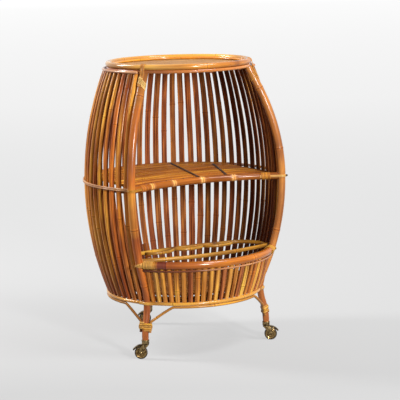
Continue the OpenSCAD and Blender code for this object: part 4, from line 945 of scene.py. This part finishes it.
def peel(way, wide, tone, seed, deep=STRIP_DEEP):
    """A strip of peel on a way [point, direction of its bark]."""
    line, facing = zip(*way)
    stain = [(0, tone), (0.5, shaded(tone, 0.86)), (1, tone)]
    return cane(line, wide, stain, seed=seed, sides=12, step=0.003, uneven=0.06, facing=facing, deep=deep)


def strap(way, wide, strips, tone, seed):
    """Several strips side by side that make one strap. The way runs on its underside."""
    line = [point for point, _ in way]
    made = []
    for s in range(strips):
        shift = (s - (strips - 1) / 2) * wide / strips
        moved = [(point + heading(line, i).cross(n).normalized() * shift, n)
                 for i, (point, n) in enumerate(way)]
        made.append(peel(moved, wide / strips - 0.0002, shaded(tone, 1 - 0.12 * (s % 2)), seed + s))
    return made


def wound(place, canes, turns, tone, seed, tight=TURN_UP, lift=None, phase=0.6, grow=0.0, slant=0.0,
          wide=STRIP, deep=STRIP_DEEP):
    """Turns of peel round the canes [x, y, radius] that stand at that place, each next one higher by tight
    and all aslant by slant. With lift it is one closed turn that leans. Phase is where it lies highest."""
    way = []
    steps = 40
    for i in range(round(turns * steps) + 1):
        a = 2 * math.pi * (i + 0.5) / steps
        n = Vector((math.cos(a), math.sin(a), 0))
        x, y, r = max(canes, key=lambda c: c[0] * n.x + c[1] * n.y + c[2])
        x, y = x + (r + grow) * n.x, y + (r + grow) * n.y
        if lift is None:
            up = (i / steps - turns / 2) * tight + slant * math.cos(math.atan2(y, x) - phase)
        else:
            up = lift * math.cos(a - phase)
        way.append((place @ Vector((x, y, up)), place.to_3x3() @ n))
    return peel(way, wide, tone, seed, deep)


def frame_at(turn, z, lean):
    """A place on a pole at that turn and height, with its length upwards, leaning inwards by an angle."""
    faced = Matrix.Rotation(math.radians(turn) - math.pi / 2, 4, "Z") @ Matrix.Rotation(-lean, 4, "Y")
    return Matrix.Translation(on_barrel(turn, pole_r(z), z)) @ faced


def on_side(side, way):
    """A way on the right of the bar, or with side -1 its mirror image on the left."""
    return [(Vector((side * p.x, p.y, p.z)), Vector((side * n.x, n.y, n.z))) for p, n in way]


ON_POLE = POLE_THICK / 2 + SEAT
ON_RIM = RIM_THICK / 2 + SEAT
rim_parts = []
for turn, tone, slant in ((-POLE_TURN, dye(236, 200, 126), 0.009), (POLE_TURN, dye(190, 132, 62), 0.003)):
    out, up = math.cos(HIGH_TURN), math.sin(HIGH_TURN)
    section = [(pole_r(z) + ON_POLE * out, z + ON_POLE * up, out, up) for z in (0.9959, 1.016, 1.0364)]
    for a in range(12, 125, 7):
        out, up = math.cos(math.radians(a)), math.sin(math.radians(a))
        section.append((RIM_R + ON_RIM * out, RIM_Z + ON_RIM * up, out, up))
    way = [(on_barrel(turn, r, z), out * turned_to(turn) + up * UP) for r, z, out, up in section]
    rim_parts += strap(way, 0.018, 3, dye(184, 122, 54), 110)
    under = [(0, 0, ON_POLE), (0.0169, 0.008, SEAT), (0.0169, -0.008, SEAT)]
    rim_parts.append(wound(frame_at(turn, WALL_TOP - 0.037, HIGH_TURN), under, 5, tone, 120, tight=0.0052,
                           phase=-1.07, slant=slant, wide=0.0030, deep=0.0012))
piece("rim_lashing", rim_parts, peel_finish, "rim_binding")

ON_SHELF_RAIL = 0.0128
shelf_parts = []
post = Vector((POST_X, AXIS_Y - 0.21249, SHELF_Z))
post_turn = math.degrees(math.asin(POST_X / SHELF_R))
bow_middle = Vector((*shelf_middle, SHELF_Z))
outward = [turned_to(180 - post_turn + math.degrees(s / SHELF_R))
           for s in (0.084, 0.073, 0.062, 0.052, 0.042, 0.034, 0.026)]
round_post = [turned_to(90 + a - post_turn) for a in range(-98, 99, 7)]
shelf_way = [(bow_middle + (SHELF_R - ON_SHELF_RAIL) * n, -n) for n in outward]
shelf_way += [(post + ON_POLE * n, n) for n in round_post]
shelf_way += [(bow_middle + (SHELF_R + ON_SHELF_RAIL) * n, n) for n in outward[::-1]]
wound_x = POST_X - 0.056
wound_turn = math.asin(wound_x / SHELF_R)
around = [(0, 0, 0.0130)] + [(u * 0.0045, v * 0.0144, 0.0005) for u in (-1, 1) for v in (-1, 1)]
for side, tone, turn_tone in ((1, dye(228, 178, 104), dye(188, 124, 52)),
                              (-1, dye(196, 138, 52), dye(182, 108, 46))):
    shelf_parts += strap(on_side(side, shelf_way), 0.009, 2, tone, 130)
    place = Matrix.Translation((side * wound_x, shelf_middle[1] + SHELF_R * math.cos(wound_turn), SHELF_Z))
    place = place @ Matrix.Rotation(-side * wound_turn, 4, "Z") @ Matrix.Rotation(math.pi / 2, 4, "Y")
    shelf_parts.append(wound(place, around, 6, turn_tone, 140, tight=0.0058, wide=0.0054, deep=0.0011))
piece("shelf_lashing", shelf_parts, peel_finish, "shelf_binding")

ON_BASKET_RAIL = 0.0143
basket_parts = []
lean = math.asin((BELLY_Z - BASKET_Z) / LOW_BOW)
post = on_barrel(POLE_TURN, pole_r(BASKET_Z), BASKET_Z)


def on_rail(s, face):
    """A place on the outer or inner face of the basket's rail, s from the pole's middle."""
    turn = POLE_TURN - math.degrees(s / BASKET_R)
    n = face * (math.cos(lean) * turned_to(turn) - math.sin(lean) * UP)
    return on_barrel(turn, BASKET_R, BASKET_Z) + ON_BASKET_RAIL * n, n


basket_way = [on_rail(s, 1) for s in (0.062, 0.054, 0.046, 0.038, 0.030, 0.022)]
for a in range(-12, 151, 6):
    n = math.cos(math.radians(a)) * on_rail(0, 1)[1] + math.sin(math.radians(a)) * turned_to(POLE_TURN + 90)
    basket_way.append((post + ON_BASKET_RAIL * n, n))
basket_way += [on_rail(s, -1) for s in (0.004, 0.014, 0.024, 0.034, 0.044, 0.053, 0.062)]
around = [(0, 0, 0.0148)] + [(u * 0.0045, v * 0.0159, 0.0008) for u in (-1, 1) for v in (-1, 1)]
for side, tone in ((1, peel_gold), (-1, peel_pale)):
    basket_parts += strap(on_side(side, basket_way), 0.009, 2, tone, 150)
    turn = side * (POLE_TURN - math.degrees(0.036 / BASKET_R))
    place = Matrix.Translation(on_barrel(turn, BASKET_R, BASKET_Z))
    place = place @ Matrix.Rotation(math.radians(turn), 4, "Z") @ Matrix.Rotation(lean, 4, "X")
    place = place @ Matrix.Rotation(math.pi / 2, 4, "Y")
    basket_parts.append(wound(place, around, 11, shaded(tone, 0.9), 160, tight=0.0034, wide=0.0032,
                              deep=0.0011))
    place = frame_at(side * POLE_TURN, BASKET_Z, lean)
    for i, lift in enumerate((0.011, -0.011, 0.006, -0.006)):
        basket_parts.append(wound(place, [(0, 0, 0.0158)], 1, tone, 161 + i, lift=lift, grow=0.0004 * i,
                                  phase=math.pi / 2 - side * 0.49, wide=0.0040, deep=0.0012))
piece("basket_lashing", basket_parts, peel_finish, "basket_binding")

BIND_Z = 0.121
leg_parts = []
leg_lean = math.asin((BIND_Z - leg[1]) / leg_bow)
brace_aside = pole_r(BIND_Z) * math.sin(math.radians(brace_foot))
around = [(0, 0, 0.01355), (0, brace_aside, 0.0058), (0, -brace_aside, 0.0058)]
for turn, seed in zip(LEG_PLACES, (170, 174, 178)):
    place = frame_at(turn, BIND_Z, leg_lean)
    leg_parts.append(wound(place, around, 4, peel_pale, seed))
    leg_parts += [wound(place, around, 1, peel_gold, seed + 2 + s, lift=s * 0.009, grow=0.0012 + 0.0004 * s)
                  for s in (-1, 1)]
piece("leg_lashing", leg_parts, peel_finish, "leg_binding")


# Casters: a turned brass socket on each foot, and in it the stem of a fork with an arched guard. The wheel is
# a turned brass disc in a dark tyre, on an axle with domed heads.
WHEEL_R, CASTER_Z, TRAIL = 0.024, 0.056, 0.017
LYING = Matrix.Rotation(math.pi / 2, 4, "X")
patina, given, gives = effect("brass patina", (("Color", "Clean Tarnish"), ("Float", "Gloss")),
                              (("Color", "Color"), ("Float", "Roughness Height")))
place = put(patina, "ShaderNodeTexCoord").outputs["Object"]
patch = stretched(patina, place, (120, 120, 120), 3, 0.6)
scratch = stretched(patina, place, (900, 900, 260), 2, 0.5)
aged = tinted(patina, ranged(patina, patch, 0.40, 0.62), given["Clean"], given["Tarnish"], "MIX")
join(patina, aged, gives["Color"], scratch, gives["Height"],
     sum_of(patina, given["Gloss"], ranged(patina, patch, 0.35, 0.65, -0.04, 0.22)), gives["Roughness"])


def metal_finish(name, clean, tarnish, gloss, metallic=1.0):
    """Aged metal, clean in places and tarnished in others; with metallic 0, worn rubber."""
    finish, _, shader = finish_with(name, patina, 0.15, 0.0002, clean=clean, tarnish=tarnish, gloss=gloss)
    shader["Metallic"].default_value = metallic
    return finish


def turned(profile, place, sides=48):
    """Turned on a lathe: the closed profile [r, height] spun about its axis, at that place."""
    bm = bmesh.new()
    loop = [bmesh.ops.create_vert(bm, co=(r, 0, z))["vert"][0] for r, z in profile]
    for a, b in zip(loop, loop[1:] + loop[:1]):
        bmesh.ops.contextual_create(bm, geom=[a, b])
    bmesh.ops.spin(bm, geom=bm.verts[:] + bm.edges[:], axis=(0, 0, 1), angle=2 * math.pi, steps=sides,
                   use_merge=True, use_duplicate=False)
    bmesh.ops.remove_doubles(bm, verts=bm.verts[:], dist=1e-6)
    bmesh.ops.dissolve_degenerate(bm, edges=bm.edges[:], dist=1e-6)
    bmesh.ops.transform(bm, matrix=place, verts=bm.verts[:])
    bmesh.ops.recalc_face_normals(bm, faces=bm.faces[:])
    return bm, []


def both_ways(half):
    """A profile from its half [r, height] and the mirror image of that."""
    return half + [(r, -z) for r, z in half[::-1]]


def rounded(points, radius, steps=4):
    """A closed outline with every corner rounded."""
    made = []
    for i, corner in enumerate(points):
        corner = Vector(corner)
        before, after = Vector(points[i - 1]) - corner, Vector(points[(i + 1) % len(points)]) - corner
        cut = min(radius, before.length / 2.5, after.length / 2.5)
        a, b = corner + cut * before.normalized(), corner + cut * after.normalized()
        for t in (s / steps for s in range(steps + 1)):
            made.append(tuple(a * (1 - t) ** 2 + corner * 2 * t * (1 - t) + b * t ** 2))
    return made


def plate(outline, thick, place, edge=0.0005):
    """A sheet metal plate with softened edges, cut to an outline in its own XY plane."""
    bm = bmesh.new()
    loop = [bmesh.ops.create_vert(bm, co=(x, y, -thick / 2))["vert"][0] for x, y in outline]
    face = bmesh.ops.contextual_create(bm, geom=loop)["faces"]
    grown = bmesh.ops.extrude_face_region(bm, geom=face)["geom"]
    bmesh.ops.translate(bm, verts=[g for g in grown if isinstance(g, bmesh.types.BMVert)], vec=(0, 0, thick))
    bmesh.ops.recalc_face_normals(bm, faces=bm.faces[:])
    sharp = [e for e in bm.edges if len(e.link_faces) == 2 and e.calc_face_angle(0) > 1.2]
    bmesh.ops.bevel(bm, geom=sharp, offset=edge, offset_type="OFFSET", segments=2, affect="EDGES",
                    profile=0.5, material=-1, clamp_overlap=True)
    bmesh.ops.transform(bm, matrix=place, verts=bm.verts[:])
    return bm, []


def guard(section, place):
    """The arched guard: its section [r, across] bent round the top of the wheel."""
    bm = bmesh.new()
    start = Matrix.Rotation(math.radians(-36), 4, "Y")
    loop = [bmesh.ops.create_vert(bm, co=start @ Vector((r, w, 0)))["vert"][0] for r, w in section]
    face = bmesh.ops.contextual_create(bm, geom=loop)["faces"]
    bmesh.ops.spin(bm, geom=face, axis=(0, -1, 0), angle=math.radians(62), steps=24, use_merge=False,
                   use_duplicate=False)
    bmesh.ops.transform(bm, matrix=place, verts=bm.verts[:])
    bmesh.ops.recalc_face_normals(bm, faces=bm.faces[:])
    return bm, []


brass = metal_finish("brass", dye(146, 124, 84), dye(66, 50, 30), 0.24)
bright_brass = metal_finish("hub_brass", dye(148, 122, 78), dye(78, 58, 32), 0.22)
tyre_finish = metal_finish("tyre_rubber", dye(52, 36, 22), dye(34, 24, 16), 0.42, metallic=0.0)
cup = [(0.00505, CASTER_Z), (0.0128, CASTER_Z), (0.0134, 0.0564), (0.01385, 0.0572), (0.01385, 0.0682),
       (0.0146, 0.0688), (0.01495, 0.0698), (0.0146, 0.0708), (0.0137, 0.0714), (0.0131, SOCKET_TOP),
       (0.0121, SOCKET_TOP), (0.0121, 0.0611), (0.00505, 0.0611)]
crown = [(0, 0.0505), (0.0112, 0.0505), (0.0122, 0.0511), (0.0125, 0.0520), (0.0125, 0.0540),
         (0.0120, 0.0550), (0.0110, 0.0555), (0.0060, 0.0555), (0.0050, 0.0560), (0.0050, 0.0812),
         (0.0043, 0.0820), (0, 0.0820)]
arm = rounded([(-0.0095, 0.0550), (0.0125, 0.0550), (0.0240, 0.0390), (0.0225, 0.0225), (0.0170, 0.0188),
               (0.0115, 0.0225), (0.0, 0.0400), (-0.0095, 0.0505)], 0.005)
guard_section = both_ways([(0.0450, 0.0078), (0.0444, 0.0096), (0.0430, 0.0104), (0.0400, 0.0104),
                           (0.0400, 0.0086), (0.0422, 0.0086), (0.0432, 0.0070)])
pin = both_ways([(0, 0.0121), (0.0026, 0.0119), (0.0038, 0.0112), (0.0042, 0.0105), (0.0025, 0.0105)])
disc = both_ways([(0.00255, 0.0074), (0.0060, 0.0074), (0.0066, 0.0070), (0.0075, 0.0054), (0.0085, 0.0049),
                  (0.0103, 0.0046), (0.0111, 0.0052), (0.0120, 0.0058), (0.0128, 0.0052), (0.0136, 0.0046),
                  (0.0160, 0.0047), (0.0170, 0.0054), (0.0178, 0.0063), (0.0192, 0.0064), (0.0200, 0.0060)])
tread = both_ways([(0.0201, 0.0058), (0.0206, 0.0064), (0.0222, 0.0063), (0.0232, 0.0056), (0.0239, 0.0042),
                   (WHEEL_R, 0.0020)])
for name, turn, points_to in zip(("left", "right", "rear"), LEG_PLACES, (152, 332, 152)):
    at = Matrix.Translation(on_barrel(turn, LEG_R, 0)) @ Matrix.Rotation(math.radians(points_to), 4, "Z")
    hub_at = at @ Matrix.Translation((TRAIL, 0, WHEEL_R)) @ LYING
    arms = [plate(arm, 0.0024, at @ Matrix.Translation((0, side * 0.0092, 0)) @ LYING) for side in (-1, 1)]
    over_wheel = guard(guard_section, at @ Matrix.Translation((0.011, 0, 0.0105)))
    piece(name + "_cup", [turned(cup, at)], brass, name + "_socket")
    fork = [turned(crown, at)] + arms + [over_wheel]
    piece(name + "_guard", fork, brass, name + "_fork", name + "_caster")
    piece(name + "_pin", [turned(pin, hub_at, 32)], brass, name + "_axle", name + "_caster")
    piece(name + "_disc", [turned(disc, hub_at, 64)], bright_brass, name + "_hub",
          name + "_wheel")
    piece(name + "_tread", [turned(tread, hub_at, 72)], tyre_finish, name + "_tyre", name + "_wheel")
